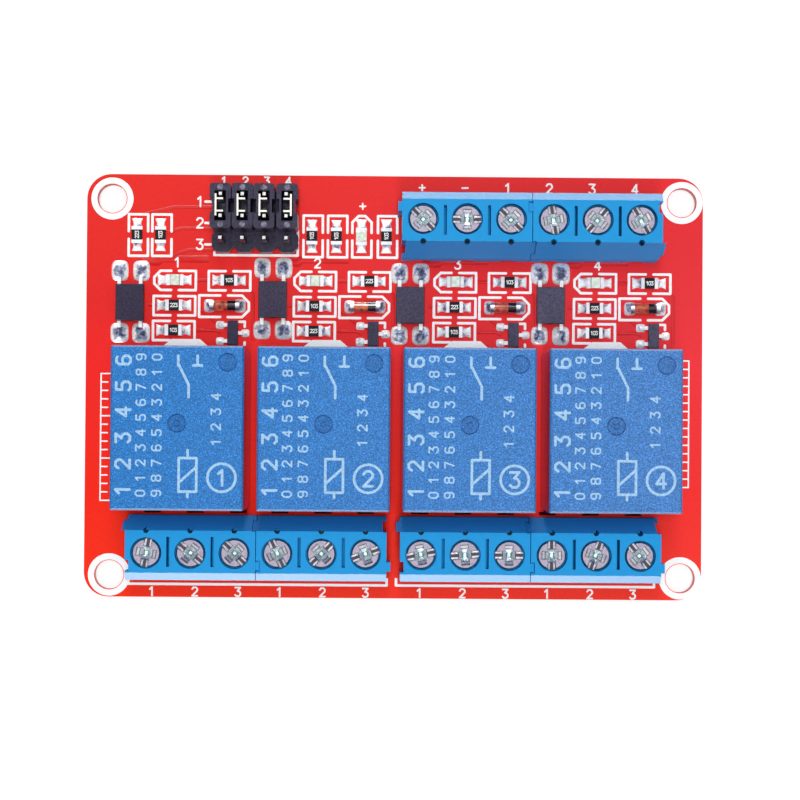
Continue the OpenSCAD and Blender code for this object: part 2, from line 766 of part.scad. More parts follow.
module relay_base() {
  slot = 2 * base_play;
  color("midnightblue") difference() {
    union() {
      translate([0, 0, standoff]) block([inner_w - slot, inner_l - slot, base_t]);
      for (x = [-1, 1], y = [-1, 1]) translate([x * (inner_w / 2 - 1), y * (inner_l / 2 - 3.4), 0])
        cylinder(d = 1.2, h = standoff + eps);
    }
    for (x = [-1, 1]) {
      translate([x * blade_x, blade_y, -1]) block([blade_w + slot, blade_t + slot, base_top + 2]);
      translate([x * blade_x, coil_pin_y, -1]) cylinder(d = coil_pin_d + slot, h = base_top + 2, $fn = 24);
    }
    translate([0, pivot_y + yoke_t / 2, -1]) block([tail_w + slot, blade_t + slot, base_top + 2]);
  }
}

// Spool for the winding, with two ears that hold the coil pins
module relay_bobbin() {
  tube_d = core_d + 2 * seat + 2 * tube_wall;
  color("ivory") translate([0, coil_y, bobbin_z]) difference() {
    union() {
      block([flange_w, flange_w, flange_t]);
      translate([0, 0, bobbin_h - flange_t]) block([flange_w, flange_w, flange_t]);
      cylinder(d = tube_d, h = bobbin_h);
      translate([0, coil_pin_y - coil_y, 0]) block([2 * blade_x + 1.3, 1.5, flange_t]);
    }
    translate([0, 0, -1]) cylinder(d = core_d + 2 * seat, h = bobbin_h + 2);
    for (x = [-1, 1]) translate([x * blade_x, coil_pin_y - coil_y, -1])
      cylinder(d = coil_pin_d + seat, h = bobbin_h, $fn = 24);
  }
}

module relay_winding() {
  tube_d = core_d + 2 * seat + 2 * tube_wall;
  color("peru") translate([0, coil_y, bobbin_z + flange_t + seat]) difference() {
    cylinder(d = coil_d, h = bobbin_h - 2 * flange_t - 2 * seat);
    translate([0, 0, -1]) cylinder(d = tube_d + 2 * seat, h = bobbin_h);
  }
}

// L-shaped iron with the riveted core, its pole face, two locating ears and the common pin
module relay_yoke() {
  ear_w = 0.9;
  color("lightgray") {
    translate([-yoke_w / 2, coil_y - core_d / 2 - 1.2, foot_z])
      cube([yoke_w, pivot_y + yoke_t - coil_y + core_d / 2 + 1.2, yoke_t]);
    translate([-yoke_w / 2, pivot_y, foot_z]) cube([yoke_w, yoke_t, pivot_z - 0.02 - foot_z]);
    for (x = [-1, 1]) translate([x * (yoke_w / 2 - ear_w / 2), pivot_y + yoke_t / 2, pivot_z - 1])
      block([ear_w, yoke_t, 1 + armature_t + 0.15]);
    translate([0, coil_y, foot_z]) cylinder(d = core_d, h = pole_z - foot_z + eps);
    translate([0, coil_y, pole_z]) cylinder(d = pole_d, h = pole_t);
    translate([0, pivot_y + yoke_t / 2, -board_t - pin_below])
      block([tail_w, blade_t, board_t + pin_below + foot_z + eps]);
  }
}

// Iron plate that rocks on the yoke's upper edge
module relay_armature() {
  ear_w = 0.9;
  nose = coil_y - flange_w / 2;
  tail = pivot_y + yoke_t + 0.1;
  color("silver") difference() {
    translate([0, 0, pivot_z]) linear_extrude(armature_t) polygon([
      [-yoke_w / 2, tail], [-yoke_w / 2, nose + 2], [-yoke_w / 2 + 2, nose],
      [yoke_w / 2 - 2, nose], [yoke_w / 2, nose + 2], [yoke_w / 2, tail]
    ]);
    for (x = [-1, 1]) translate([x * (yoke_w / 2 - ear_w / 2 + 0.1), pivot_y + yoke_t / 2 + 0.2, pivot_z - 1])
      block([ear_w + 0.5, yoke_t + 0.8, armature_t + 2]);
    for (y = RIVETS) translate([0, y, pivot_z - 1]) cylinder(d = rivet_d + 2 * seat, h = armature_t + 2, $fn = 24);
  }
}

// Leaf spring on the armature, with its two rivets and the moving contact
module contact_spring() {
  color("goldenrod") {
    translate([-leaf_w / 2, contact_y - leaf_margin, leaf_z])
      cube([leaf_w, RIVETS[1] - contact_y + 2 * leaf_margin, leaf_t]);
    for (y = RIVETS) {
      translate([0, y, leaf_z]) cylinder(d = rivet_head_d, h = leaf_t + rivet_head_h, $fn = 24);
      translate([0, y, pivot_z + seat]) cylinder(d = rivet_d, h = armature_t, $fn = 24);
    }
    translate([0, contact_y, leaf_z - contact_out]) cylinder(d = contact_d, h = leaf_t + 2 * contact_out);
  }
}

// Upper and lower contact blades on the front pins, and the two coil pins
module fixed_contacts() {
  reach = blade_x + contact_d / 2 + 0.1 + blade_w / 2;
  color("goldenrod") {
    contact_blade(1, reach, upper_contact_z + button_t, upper_contact_z);
    contact_blade(-1, reach, lower_contact_z - button_t - blade_t, lower_contact_z - button_t);
    for (x = [-1, 1]) translate([x * blade_x, coil_pin_y, -board_t - pin_below])
      cylinder(d = coil_pin_d, h = board_t + pin_below + bobbin_z + flange_t + 0.8, $fn = 24);
  }
}

// One blade on side x: its pin and upright, the arm at arm_z and the contact button at button_z
module contact_blade(x, reach, arm_z, button_z) {
  translate([x * blade_x, blade_y, standoff / 2]) block([blade_w, blade_t, arm_z + blade_t - standoff / 2]);
  translate([x * blade_x, blade_y, -board_t - pin_below]) block([tail_w, blade_t, board_t + pin_below + 1]);
  translate([x * (blade_x + blade_w / 2 - reach / 2), contact_y - 0.05, arm_z])
    block([reach, 2 * (contact_y - blade_y) + blade_t + 0.1, blade_t]);
  translate([0, contact_y, button_z]) cylinder(d = contact_d, h = button_t + eps);
}

// ---------------------------------------------------------------- small parts

module at_resistors() {
  for (c = [0:channels - 1], p = CHANNEL_RESISTORS) at_channel(c, p) children();
  for (x = ROW_RESISTORS) translate([header_x + x, row_y, board_t]) rotate([0, 0, 90]) children();
}

module at_leds() {
  for (c = [0:channels - 1]) at_channel(c, LED_AT) children();
  translate([header_x + ROW_LED, row_y, board_t]) rotate([0, 0, -90]) children();
}

module resistor_bodies() {
  color([0.1, 0.1, 0.1]) at_resistors() translate([0, 0, seat]) block([chip_l - 2 * chip_end, chip_w, chip_h]);
}

module chip_end_caps() {
  color("silver") {
    at_resistors() for (x = [-1, 1]) translate([x * (chip_l - chip_end) / 2, 0, seat / 2])
      block([chip_end, chip_w + 0.04, chip_h + seat]);
    at_leds() for (x = [-1, 1]) translate([x * (chip_l - chip_end) / 2, 0, seat / 2])
      block([chip_end, chip_w + 0.04, led_h * 0.45]);
  }
}

// White ceramic base with a clear lens whose ends slope
module led_bodies() {
  base = chip_l - 2 * chip_end;
  foot = led_h * 0.45;
  color("white") at_leds() translate([0, 0, seat]) along_y(chip_w) polygon([
    [-base / 2, 0], [base / 2, 0], [base / 2, foot], [base / 2 - 0.12, led_h], [-base / 2 + 0.12, led_h],
    [-base / 2, foot]
  ]);
}

// Moulded body: two halves that lean away from the parting line
module moulded_body(w, l, h, lift) {
  lean = h * 0.06;
  mid = h * 0.55;
  module side(s) {
    polygon([
      [-s / 2 + lean, 0], [s / 2 - lean, 0], [s / 2, mid], [s / 2 - lean, h], [-s / 2 + lean, h], [-s / 2, mid]
    ]);
  }
  translate([0, 0, lift]) intersection() {
    along_y(l + 1) side(w);
    along_x(w + 1) side(l);
  }
}

// Bent lead that leaves a body at height z, drops to the board and runs out to the span
module gull_lead(start, end, z, w, t) {
  foot = (end - start) * 0.42;
  along_x(w) polygon([
    [start, z], [end - foot, z], [end - foot + t * 0.6, t], [end, t], [end, 0],
    [end - foot - t * 0.2, 0], [end - foot - t * 0.6, z - t], [start, z - t]
  ]);
}

opto_lift = 0.1;

module optocoupler_bodies() {
  color([0.16, 0.16, 0.18]) for (c = [0:channels - 1]) at_channel(c, OPTO_AT + OPTO_DRIFT[c]) difference() {
    moulded_body(opto_w, opto_l, opto_h, opto_lift);
    translate([-opto_w / 2 + 0.7, opto_l / 2 - 0.8, opto_lift + opto_h - 0.06]) cylinder(d = 0.55, h = 1, $fn = 24);
  }
}

module optocoupler_leads() {
  color("silver") for (c = [0:channels - 1]) at_channel(c, OPTO_AT + OPTO_DRIFT[c])
    for (x = [-1, 1], turn = [0, 180]) rotate([0, 0, turn]) translate([x * OPTO_PITCH / 2, 0, seat / 2])
      gull_lead(opto_l / 2, opto_span / 2, opto_h * 0.55 + 0.1, 0.42, 0.2);
}

module diode_glass() {
  color("orangered") for (c = [0:channels - 1]) at_channel(c, DIODE_AT) translate([0, 0, diode_d / 2 + seat])
    rotate([0, 90, 0]) translate([0, 0, -diode_l / 2 + diode_end])
      cylinder(d = diode_d - 0.1, h = diode_l - 2 * diode_end);
}

module diode_caps() {
  color("silver") for (c = [0:channels - 1]) at_channel(c, DIODE_AT) translate([0, 0, diode_d / 2 + seat / 2])
    for (x = [-1, 1]) translate([x * (diode_l - diode_end) / 2, 0, 0]) rotate([0, 90, 0])
      cylinder(d = diode_d, h = diode_end, center = true);
}

module transistor_bodies() {
  color([0.14, 0.14, 0.16]) for (c = [0:channels - 1]) at_channel(c, SOT_AT)
    moulded_body(sot_w, sot_l, sot_h, 0.08);
}

module transistor_leads() {
  pitch = 1.9;
  color("silver") for (c = [0:channels - 1]) at_channel(c, SOT_AT) translate([0, 0, seat / 2]) {
    for (y = [-1, 1]) translate([0, y * pitch / 2, 0]) rotate([0, 0, 90]) sot_lead();
    rotate([0, 0, -90]) sot_lead();
  }
}

module sot_lead() {
  gull_lead(sot_w / 2, sot_span / 2, sot_h * 0.55 + 0.08, 0.42, 0.14);
}

// ---------------------------------------------------------------- what is drawn

circuit_board();
at_block(0) terminal_housing();  // output_terminal_1
at_block(1) terminal_housing();  // output_terminal_2
at_block(2) terminal_housing();  // output_terminal_3
at_block(3) terminal_housing();  // output_terminal_4
at_block(4) terminal_housing();  // input_terminal_1
at_block(5) terminal_housing();  // input_terminal_2
terminal_screws();
wire_clamps();
terminal_pins(0, 3);  // output_terminal_pins
terminal_pins(4, 5);  // input_terminal_pins
header_base();
header_pins();
at_slipped_cap(0) jumper_cap();  // jumper_cap_1
at_slipped_cap(1) jumper_cap();  // jumper_cap_2
at_slipped_cap(2) jumper_cap();  // jumper_cap_3
at_slipped_cap(3) jumper_cap();  // jumper_cap_4
jumper_clips();
at_relay(0) relay_case();  // relay_case_1
at_relay(1) relay_case();  // relay_case_2
at_relay(2) relay_case();  // relay_case_3
at_relay(3) relay_case();  // relay_case_4
at_relay(0) relay_base();  // relay_base_1
at_relay(1) relay_base();  // relay_base_2
at_relay(2) relay_base();  // relay_base_3
at_relay(3) relay_base();  // relay_base_4
at_relay(0) relay_bobbin();  // relay_bobbin_1
at_relay(1) relay_bobbin();  // relay_bobbin_2
at_relay(2) relay_bobbin();  // relay_bobbin_3
at_relay(3) relay_bobbin();  // relay_bobbin_4
at_relay(0) relay_winding();  // relay_winding_1
at_relay(1) relay_winding();  // relay_winding_2
at_relay(2) relay_winding();  // relay_winding_3
at_relay(3) relay_winding();  // relay_winding_4
at_relay(0) relay_yoke();  // relay_yoke_1
at_relay(1) relay_yoke();  // relay_yoke_2
at_relay(2) relay_yoke();  // relay_yoke_3
at_relay(3) relay_yoke();  // relay_yoke_4
at_relay(0) relay_armature();  // relay_armature_1
at_relay(1) relay_armature();  // relay_armature_2
at_relay(2) relay_armature();  // relay_armature_3
at_relay(3) relay_armature();  // relay_armature_4
at_relay(0) contact_spring();  // contact_spring_1
at_relay(1) contact_spring();  // contact_spring_2
at_relay(2) contact_spring();  // contact_spring_3
at_relay(3) contact_spring();  // contact_spring_4
at_relay(0) fixed_contacts();  // fixed_contacts_1
at_relay(1) fixed_contacts();  // fixed_contacts_2
at_relay(2) fixed_contacts();  // fixed_contacts_3
at_relay(3) fixed_contacts();  // fixed_contacts_4
solder_joints();
optocoupler_bodies();
optocoupler_leads();
resistor_bodies();
chip_end_caps();
led_bodies();
diode_glass();
diode_caps();
transistor_bodies();
transistor_leads();
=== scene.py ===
# %% [markdown]
# # A four-channel relay module, dressed for a product picture
# The solids come from CAD: board, relays, terminal blocks, header and small parts. They are a
# fixed frame in metres, so nothing here moves or resizes them. This lesson adds what CAD leaves
# out: the printed outlines, the copper under the red mask, the solder, and a finish for every
# surface. The box of the bare CAD model is kept; the floor is laid at its lowest point.

# %% Load the frame
import math

import bmesh
import bpy
from mathutils import Matrix, Vector


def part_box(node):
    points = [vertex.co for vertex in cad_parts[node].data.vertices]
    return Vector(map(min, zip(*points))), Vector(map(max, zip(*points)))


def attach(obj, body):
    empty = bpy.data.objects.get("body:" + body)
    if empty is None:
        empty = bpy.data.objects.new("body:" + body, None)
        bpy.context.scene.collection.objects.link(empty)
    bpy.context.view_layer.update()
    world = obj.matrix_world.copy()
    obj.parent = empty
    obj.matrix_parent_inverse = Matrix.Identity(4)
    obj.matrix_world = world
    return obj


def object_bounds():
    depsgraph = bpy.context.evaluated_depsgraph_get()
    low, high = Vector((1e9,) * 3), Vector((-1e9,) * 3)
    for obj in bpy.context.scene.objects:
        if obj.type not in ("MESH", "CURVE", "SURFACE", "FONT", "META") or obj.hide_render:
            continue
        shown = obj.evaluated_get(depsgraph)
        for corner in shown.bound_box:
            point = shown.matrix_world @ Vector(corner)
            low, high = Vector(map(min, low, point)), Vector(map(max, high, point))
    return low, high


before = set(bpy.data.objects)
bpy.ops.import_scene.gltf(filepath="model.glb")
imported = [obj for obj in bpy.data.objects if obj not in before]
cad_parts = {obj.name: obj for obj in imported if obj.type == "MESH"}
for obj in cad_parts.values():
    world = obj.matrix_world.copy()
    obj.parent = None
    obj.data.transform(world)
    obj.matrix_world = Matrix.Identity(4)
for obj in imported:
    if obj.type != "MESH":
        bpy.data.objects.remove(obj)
cad_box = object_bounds()
MM = 0.001
BODY = "module"

# %% [markdown]
# ## Camera
# The board is looked at from straight above, from about 36 cm away, so the relays lean outwards
# a little and show a sliver of their sides. A long lens fills the frame from that distance. The
# camera is turned by barely a degree on each axis, as a hand-placed camera is; its three turns are
# multiplied here in the order roll, tilt, swing, and the transpose places it in the world.

# %% Place the camera
CAMERA_PLACE = Vector((-2.700, -8.759, 357.791)) * MM
TILT, SWING, ROLL = -0.02072, 0.00894, -0.00723
LENS, SENSOR = 135.39, 36.0


def put(name, data):
    """A new object in the scene."""
    obj = bpy.data.objects.new(name, data)
    bpy.context.scene.collection.objects.link(obj)
    return obj


camera_data = bpy.data.cameras.new("top_camera")
camera_data.lens = LENS
camera_data.sensor_width = SENSOR
camera_data.clip_start = 0.01
camera = put("top_camera", camera_data)
turn = Matrix.Rotation(ROLL, 3, "Z") @ Matrix.Rotation(TILT, 3, "X") @ Matrix.Rotation(SWING, 3, "Y")
camera.matrix_world = Matrix.Translation(CAMERA_PLACE) @ turn.transposed().to_4x4()
bpy.context.scene.camera = camera
print("camera", [round(v, 4) for v in camera.location], "lens", LENS)

# %% [markdown]
# ## Measuring the CAD nodes
# One CAD node can hold many loose solids: all resistors are one node, all their metal ends are
# another. To put solder and print round each one, the script needs each solid's own box. A CAD
# mesh is loose triangles, so a copy is merged first, and then the faces that share vertices are
# gathered, one island after another.

# %% Find the solids of a node
MERGE = 1e-6


def solids_of(part):
    """Lowest and highest corner of each separate solid of a CAD node."""
    bm = bmesh.new()
    bm.from_mesh(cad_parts[part].data)
    bmesh.ops.remove_doubles(bm, verts=bm.verts, dist=MERGE)
    seen, found = set(), []
    for start in bm.verts:
        if start.index in seen:
            continue
        seen.add(start.index)
        heap, island = [start], []
        while heap:
            v = heap.pop()
            island.append(v.co.copy())
            for e in v.link_edges:
                other = e.other_vert(v)
                if other.index not in seen:
                    seen.add(other.index)
                    heap.append(other)
        found.append((Vector(map(min, zip(*island))), Vector(map(max, zip(*island)))))
    bm.free()
    return found


def middle(box):
    return (box[0] + box[1]) / 2


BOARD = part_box("circuit_board")
TOP = BOARD[1][2]
RELAYS = [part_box("relay_case_%d" % n) for n in range(1, 5)]
RELAY_XY = [middle((Vector(lo), Vector(hi))).xy / MM for lo, hi in RELAYS]
RELAY_BACK = RELAYS[0][1][1] / MM
RELAY_FRONT = RELAYS[0][0][1] / MM
RELAY_TOP = RELAYS[0][1][2]
print("board top", TOP, "relays at", [tuple(round(v, 2) for v in p) for p in RELAY_XY])

# %% [markdown]
# ## Building materials from nodes
# A moulded plastic is never one flat colour: the mould leaves a fine grain, the pigment is a
# little uneven, and the gloss changes with the grain. One helper builds that for every plastic
# here from a noise on the object's own coordinates, so that the pattern stays on the part.
# Metals get a second helper, whose patches are larger. Small helpers come first: they make a
# node, turn a number or a noise into a tone, and combine tones.

# %% Node helpers
def feed(tree, made, inputs):
    """Sets a node's inputs: a socket is linked, the rest are plain values."""
    for key, value in inputs.items():
        if isinstance(value, bpy.types.NodeSocket):
            tree.links.new(value, made.inputs[key])
        else:
            made.inputs[key].default_value = value


def node(tree, kind, inputs=None, **settings):
    made = tree.nodes.new(kind)
    for key, value in settings.items():
        setattr(made, key, value)
    feed(tree, made, inputs or {})
    return made


def maths(tree, operation, *values):
    return node(tree, "ShaderNodeMath", dict(enumerate(values)), operation=operation).outputs[0]


def own_place(tree):
    """The piece's own coordinates, in metres."""
    return node(tree, "ShaderNodeTexCoord").outputs["Object"]


def own_axis(tree, axis):
    return node(tree, "ShaderNodeSeparateXYZ", {"Vector": own_place(tree)}).outputs[axis]


def noise(tree, scale, detail=2.0, rough=0.5):
    """A noise on the piece's own coordinates; scale is in cells per metre."""
    made = node(tree, "ShaderNodeTexNoise", {
        "Scale": scale, "Detail": detail, "Roughness": rough, "Vector": own_place(tree)})
    return made.outputs["Fac"]


# %% Tone helpers
def linear(r, g, b):
    """A colour as a paint chart gives it, 0 to 255, as the linear value the shader wants."""
    def one(v):
        v /= 255
        return v / 12.92 if v <= 0.04045 else ((v + 0.055) / 1.055) ** 2.4
    return (one(r), one(g), one(b), 1.0)


def shade(colour, factor):
    return tuple(min(1.0, c * factor) for c in colour[:3]) + (1.0,)


def ramp(tree, source, stops):
    """A colour ramp from (position, colour) pairs."""
    made = node(tree, "ShaderNodeValToRGB", {"Fac": source})
    first, last = made.color_ramp.elements
    first.position, first.color = stops[0]
    last.position, last.color = stops[-1]
    for place, colour in stops[1:-1]:
        made.color_ramp.elements.new(place).color = colour
    return made.outputs["Color"]


def grey(tree, source, low, high, start=0.3, end=0.7):
    """A number between low and high, as the source goes from start to end."""
    return node(tree, "ShaderNodeMapRange", {
        "Value": source, "From Min": start, "From Max": end, "To Min": low, "To Max": high}).outputs["Result"]


def mixed(tree, share, one, other, how="MIX"):
    """Two colours, mixed by a share or joined in another way."""
    return node(tree, "ShaderNodeMix", {"Factor": share, 6: one, 7: other},
                data_type="RGBA", blend_type=how).outputs[2]


def times(tree, one, other):
    return mixed(tree, 1.0, one, other, "MULTIPLY")


def bump(tree, skin, source, strength, depth):
    made = node(tree, "ShaderNodeBump", {"Strength": strength, "Distance": depth, "Height": source})
    tree.links.new(made.outputs["Normal"], skin.inputs["Normal"])


def blank(owner):
    """The emptied node tree of a material or a world."""
    owner.use_nodes = True
    owner.node_tree.nodes.clear()
    return owner.node_tree


def new_material(name):
    material = bpy.data.materials.new(name)
    tree = blank(material)
    skin = node(tree, "ShaderNodeBsdfPrincipled")
    node(tree, "ShaderNodeOutputMaterial", {"Surface": skin.outputs["BSDF"]})
    return material, tree, skin


# %% Plastic and metal
GLOSS_SPREAD = 0.08
WHITE = (1, 1, 1, 1)


def mottled(name, colour, pattern, reach, spread, gloss, relief, **fixed):
    """A skin whose pattern (scale, detail, roughness) varies its tone by spread and its gloss.
    Reach is how far the tones lie on each side of the pattern's middle."""
    material, tree, skin = new_material(name)
    fine = noise(tree, *pattern)
    dark, light = shade(colour, 1 - spread), shade(colour, 1 + spread)
    stops = [(0.5 - reach, dark), (0.5, colour), (0.5 + reach, light)]
    rough = grey(tree, fine, gloss + GLOSS_SPREAD, gloss - GLOSS_SPREAD)
    feed(tree, skin, {"Base Color": ramp(tree, fine, stops), "Roughness": rough, **fixed})
    bump(tree, skin, fine, *relief)
    return material


def moulded_plastic(name, colour, grain, spread, gloss, depth=0.00001, shine=0.3):
    """Plastic whose grain is that many metres across and whose colour varies by spread."""
    return mottled(name, colour, (1 / grain, 3.0, 0.6), 0.18, spread, gloss, (0.5, depth),
                   **{"Specular IOR Level": shine})


def bare_metal(name, colour, rough, cloud, spread=0.15, depth=0.00001):
    """Metal with cloudy patches that many metres across."""
    return mottled(name, colour, (1 / cloud, 4.0, 0.55), 0.2, spread, rough, (0.4, depth), Metallic=1.0)


def two_tone_plastic(name, near, far, axis, centre, start, end, grain, spread, gloss, depth, shine=0.35):
    """Moulded plastic whose colour and gloss turn from near to far between two distances from a centre
    plane; gloss gives both roughnesses. The turn of colour is painted light on each piece that uses it."""
    material, tree, skin = new_material(name)
    away = maths(tree, "ABSOLUTE", maths(tree, "SUBTRACT", own_axis(tree, axis), centre))
    share = grey(tree, away, 0.0, 1.0, start, end)
    fine = noise(tree, 1 / grain, 3.0, 0.6)
    tint = ramp(tree, fine, [(0.32, shade(WHITE, 1 - spread)), (0.68, WHITE)])
    feed(tree, skin, {
        "Base Color": times(tree, ramp(tree, share, [(0.0, near), (1.0, far)]), tint),
        "Roughness": grey(tree, share, *gloss, 0.0, 1.0), "Specular IOR Level": shine})
    bump(tree, skin, fine, 0.5, depth)
    return material


# %% [markdown]
# ## The finishes
# The relay cases come out of spark-eroded moulds, which gives them a coarse grain whose brightest
# specks are painted glints; below the roof they carry painted shade, and a painted haze towards
# one end. The terminal blocks are smoother and brighter, and their slopes towards the relays are
# painted lighter: painted light. The board's red is a lacquer over copper: it is glossy, and its
# tone changes across the board and along it, warmer on one half than on the other: painted light
# and haze over its own red.

# %% Make the plastics
OUTPUT_REAR, INPUT_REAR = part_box("output_terminal_1")[1][1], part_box("input_terminal_1")[0][1]
SLOPE_RUN = 0.00167
ridge = (INPUT_REAR - OUTPUT_REAR) / 2 + SLOPE_RUN
MARK_DEPTH = 0.00025
mark_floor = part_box("jumper_cap_1")[1][2] - MARK_DEPTH
CHIP_HAZE_RUN = (0.008, 0.064)
# The slopes towards the relays get the lighter near colour: painted light; the tops and fronts keep the far
# colour.
terminal_blue = two_tone_plastic(
    "terminal_blue", linear(58, 168, 248), linear(14, 149, 217), "Y", (OUTPUT_REAR + INPUT_REAR) / 2,
    ridge - 0.00005, ridge, 0.0006, 0.06, (0.6, 0.30), 0.00001)
# The caps are light grey at the depth of their recessed marks: the marks' floors are painted light, and the
# band round the cap's sides at that height is a painted highlight.
jumper_black = two_tone_plastic(
    "jumper_black", linear(150, 146, 170), linear(58, 52, 80), "Z", mark_floor,
    0.00003, 0.00008, 0.0003, 0.75, (0.4, 0.34), 0.00003)
# The chips turn lighter and bluer towards the board's right end: a painted haze.
chip_black = two_tone_plastic(
    "chip_black", linear(60, 52, 76), linear(92, 88, 110), "X", BOARD[0][0],
    *CHIP_HAZE_RUN, 0.00026, 0.5, (0.5, 0.5), 0.00001, 0.2)
base_blue = moulded_plastic("base_blue", linear(26, 40, 84), 0.0005, 0.10, 0.5)
header_black = moulded_plastic("header_black", linear(34, 30, 52), 0.0003, 0.9, 0.34, 0.00003, 0.45)
resistor_black = moulded_plastic("resistor_black", linear(14, 12, 18), 0.0003, 0.15, 0.28, 0.000005, 0.25)
bobbin_ivory = moulded_plastic("bobbin_ivory", linear(226, 218, 196), 0.0005, 0.05, 0.45)
led_resin = moulded_plastic("led_resin", linear(224, 234, 218), 0.0004, 0.22, 0.2, 0.000005)
ink_white = moulded_plastic("ink_white", linear(253, 253, 253), 0.0004, 0.03, 0.45, 0.000003)
pad_print = moulded_plastic("pad_print", linear(160, 198, 230), 0.00018, 0.22, 0.5, 0.000004)
# Painted shade: dark patches on the board before the output terminals.
painted_shade = moulded_plastic("painted_shade", linear(60, 8, 16), 0.0005, 0.15, 0.6, 0.00001, 0.1)

# %% Make the metals
clamp_steel = bare_metal("clamp_steel", linear(170, 170, 174), 0.34, 0.0012)
strip_tin = bare_metal("strip_tin", linear(150, 150, 156), 0.34, 0.0010)
tin_plate = bare_metal("tin_plate", linear(224, 224, 230), 0.36, 0.0008)
clip_steel = bare_metal("clip_steel", linear(240, 238, 226), 0.34, 0.0006, 0.1)
spring_bronze = bare_metal("spring_bronze", linear(222, 200, 150), 0.25, 0.0006)
contact_brass = bare_metal("contact_brass", linear(216, 190, 130), 0.28, 0.0008)
relay_iron = bare_metal("relay_iron", linear(176, 178, 182), 0.36, 0.0010)
solder_tin = bare_metal("solder_tin", linear(206, 210, 222), 0.36, 0.0006, 0.25, 0.00002)

# %% Relay cases: grain with painted glints on the roof, smooth drawn sides, painted shade and haze
SIDE_TOP, GRAIN_TOP = 0.00062, 0.00055
MARK_LOW, MARK_HIGH = 0.00014, 0.00008


def relay_plastic(name, colour):
    """The grain's height, its contrast and the roughness fade out below the roof. Below the roof, on
    the floors of the recessed marks and on the sides, the colour is darker: painted shade. Towards
    the board's right end it turns lighter and redder: a painted haze."""
    material, tree, skin = new_material(name)
    up = own_axis(tree, "Z")
    along = grey(tree, own_axis(tree, "X"), 0.0, 1.0, BOARD[0][0], BOARD[1][0])
    grained = grey(tree, up, 0.0, 1.0, RELAY_TOP - SIDE_TOP, RELAY_TOP - GRAIN_TOP)
    fine = noise(tree, 1 / 0.00016, 2.0, 0.6)
    # The grain's tones differ at random; its brightest specks, up to 1.9 times the colour, are painted
    # glints.
    spark = ramp(tree, fine, [(0.36, shade(colour, 0.62)), (0.5, colour), (0.60, shade(colour, 1.25)),
                              (0.68, shade(colour, 1.9))])
    flush = grey(tree, up, 0.0, 1.0, RELAY_TOP - MARK_LOW, RELAY_TOP - MARK_HIGH)
    # Painted shade: everything more than 0.14 mm below the roof, the recessed marks' floors and the sides, is
    # darker.
    below_roof_shade = ramp(tree, flush, [(0.0, (0.74, 0.76, 0.80, 1)), (1.0, WHITE)])
    # Painted haze: the colour turns lighter and redder towards the board's right end.
    painted_haze = ramp(tree, along, [(0.0, WHITE), (1.0, (3.6, 1.16, 1.03, 1))])
    tone = times(tree, mixed(tree, grained, shade(colour, 0.9), spark), below_roof_shade)
    feed(tree, skin, {"Base Color": times(tree, tone, painted_haze), "Specular IOR Level": 0.3,
                      "Roughness": grey(tree, grained, 0.12, 0.40, 0.0, 1.0)})
    bump(tree, skin, maths(tree, "MULTIPLY", fine, grained), 0.5, 0.00003)
    return material


relay_blue = relay_plastic("relay_blue", linear(36, 116, 188))

# %% Screws, pins and chip solder: metal whose tone follows the depth below its top, as painted light
# Screws: painted highlights on the slot walls and painted shade on the slot floors.
SCREW_TONES = [(0.0, (225, 245, 242)), (0.22, (235, 252, 250)), (0.27, (76, 90, 94)), (0.34, (200, 220, 220)),
               (0.60, (250, 255, 255)), (0.635, (84, 76, 88)), (0.665, (92, 84, 96)), (0.70, (255, 255, 255)),
               (0.86, (255, 255, 255)), (0.95, (92, 84, 100)), (1.0, (176, 168, 186))]
# Pins: painted shade down their sides and a painted highlight on their tips.
PIN_TONES = [(0.0, (84, 80, 86)), (0.85, (96, 92, 96)), (0.95, (170, 166, 172)), (1.0, (232, 230, 232))]
# Chip solder: a painted highlight on its foot and rims, and a painted reflection of dark surroundings on its
# top.
SOLDER_TONES = [(0.0, (255, 255, 255)), (0.4, (255, 255, 255)), (0.62, (176, 182, 204)),
                (0.85, (134, 142, 170)), (1.0, (70, 76, 104))]
SOLDER_HIGH = 0.00055


def worn_metal(name, top, reach, tones, cloud, rough, dents=0.00002, bright=1.0, stain=0.38, wander=0.0):
    """Tones run from 0, at reach below the top, to 1 at the top, and paint light and shade by depth;
    cloud is the size of its patches and wander is how far they push the tones up or down."""
    material, tree, skin = new_material(name)
    depth = grey(tree, own_axis(tree, "Z"), 0.0, 1.0, top - reach, top)
    patch = noise(tree, 1 / cloud, 4.0, 0.6)
    if wander:
        push = maths(tree, "MULTIPLY_ADD", noise(tree, 0.4 / cloud, 3.0, 0.6), wander, -wander / 2)
        depth = maths(tree, "ADD", depth, push)
    light_by_depth = ramp(tree, depth, [(place, linear(*tone)) for place, tone in tones])
    tint = ramp(tree, patch, [(0.3, (1 - stain, 1 - stain, 1.04 - stain, 1)), (0.7, (1.15, 1.15, 1.15, 1))])
    feed(tree, skin, {"Base Color": times(tree, light_by_depth, tint), "Metallic": bright,
                      "Roughness": grey(tree, patch, rough + GLOSS_SPREAD, rough - GLOSS_SPREAD)})
    bump(tree, skin, patch, 0.4, dents)
    return material


screw_steel = worn_metal("screw_steel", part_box("terminal_screws")[1][2], 0.001, SCREW_TONES, 0.00035, 0.32)
pin_tin = worn_metal("pin_tin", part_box("header_pins")[1][2], 0.001, PIN_TONES, 0.00016, 0.36, stain=0.6)
chip_tin = worn_metal("chip_tin", TOP + SOLDER_HIGH, SOLDER_HIGH, SOLDER_TONES, 0.00026, 0.40, 0.00010, 0.4,
                      0.3, 2.4)

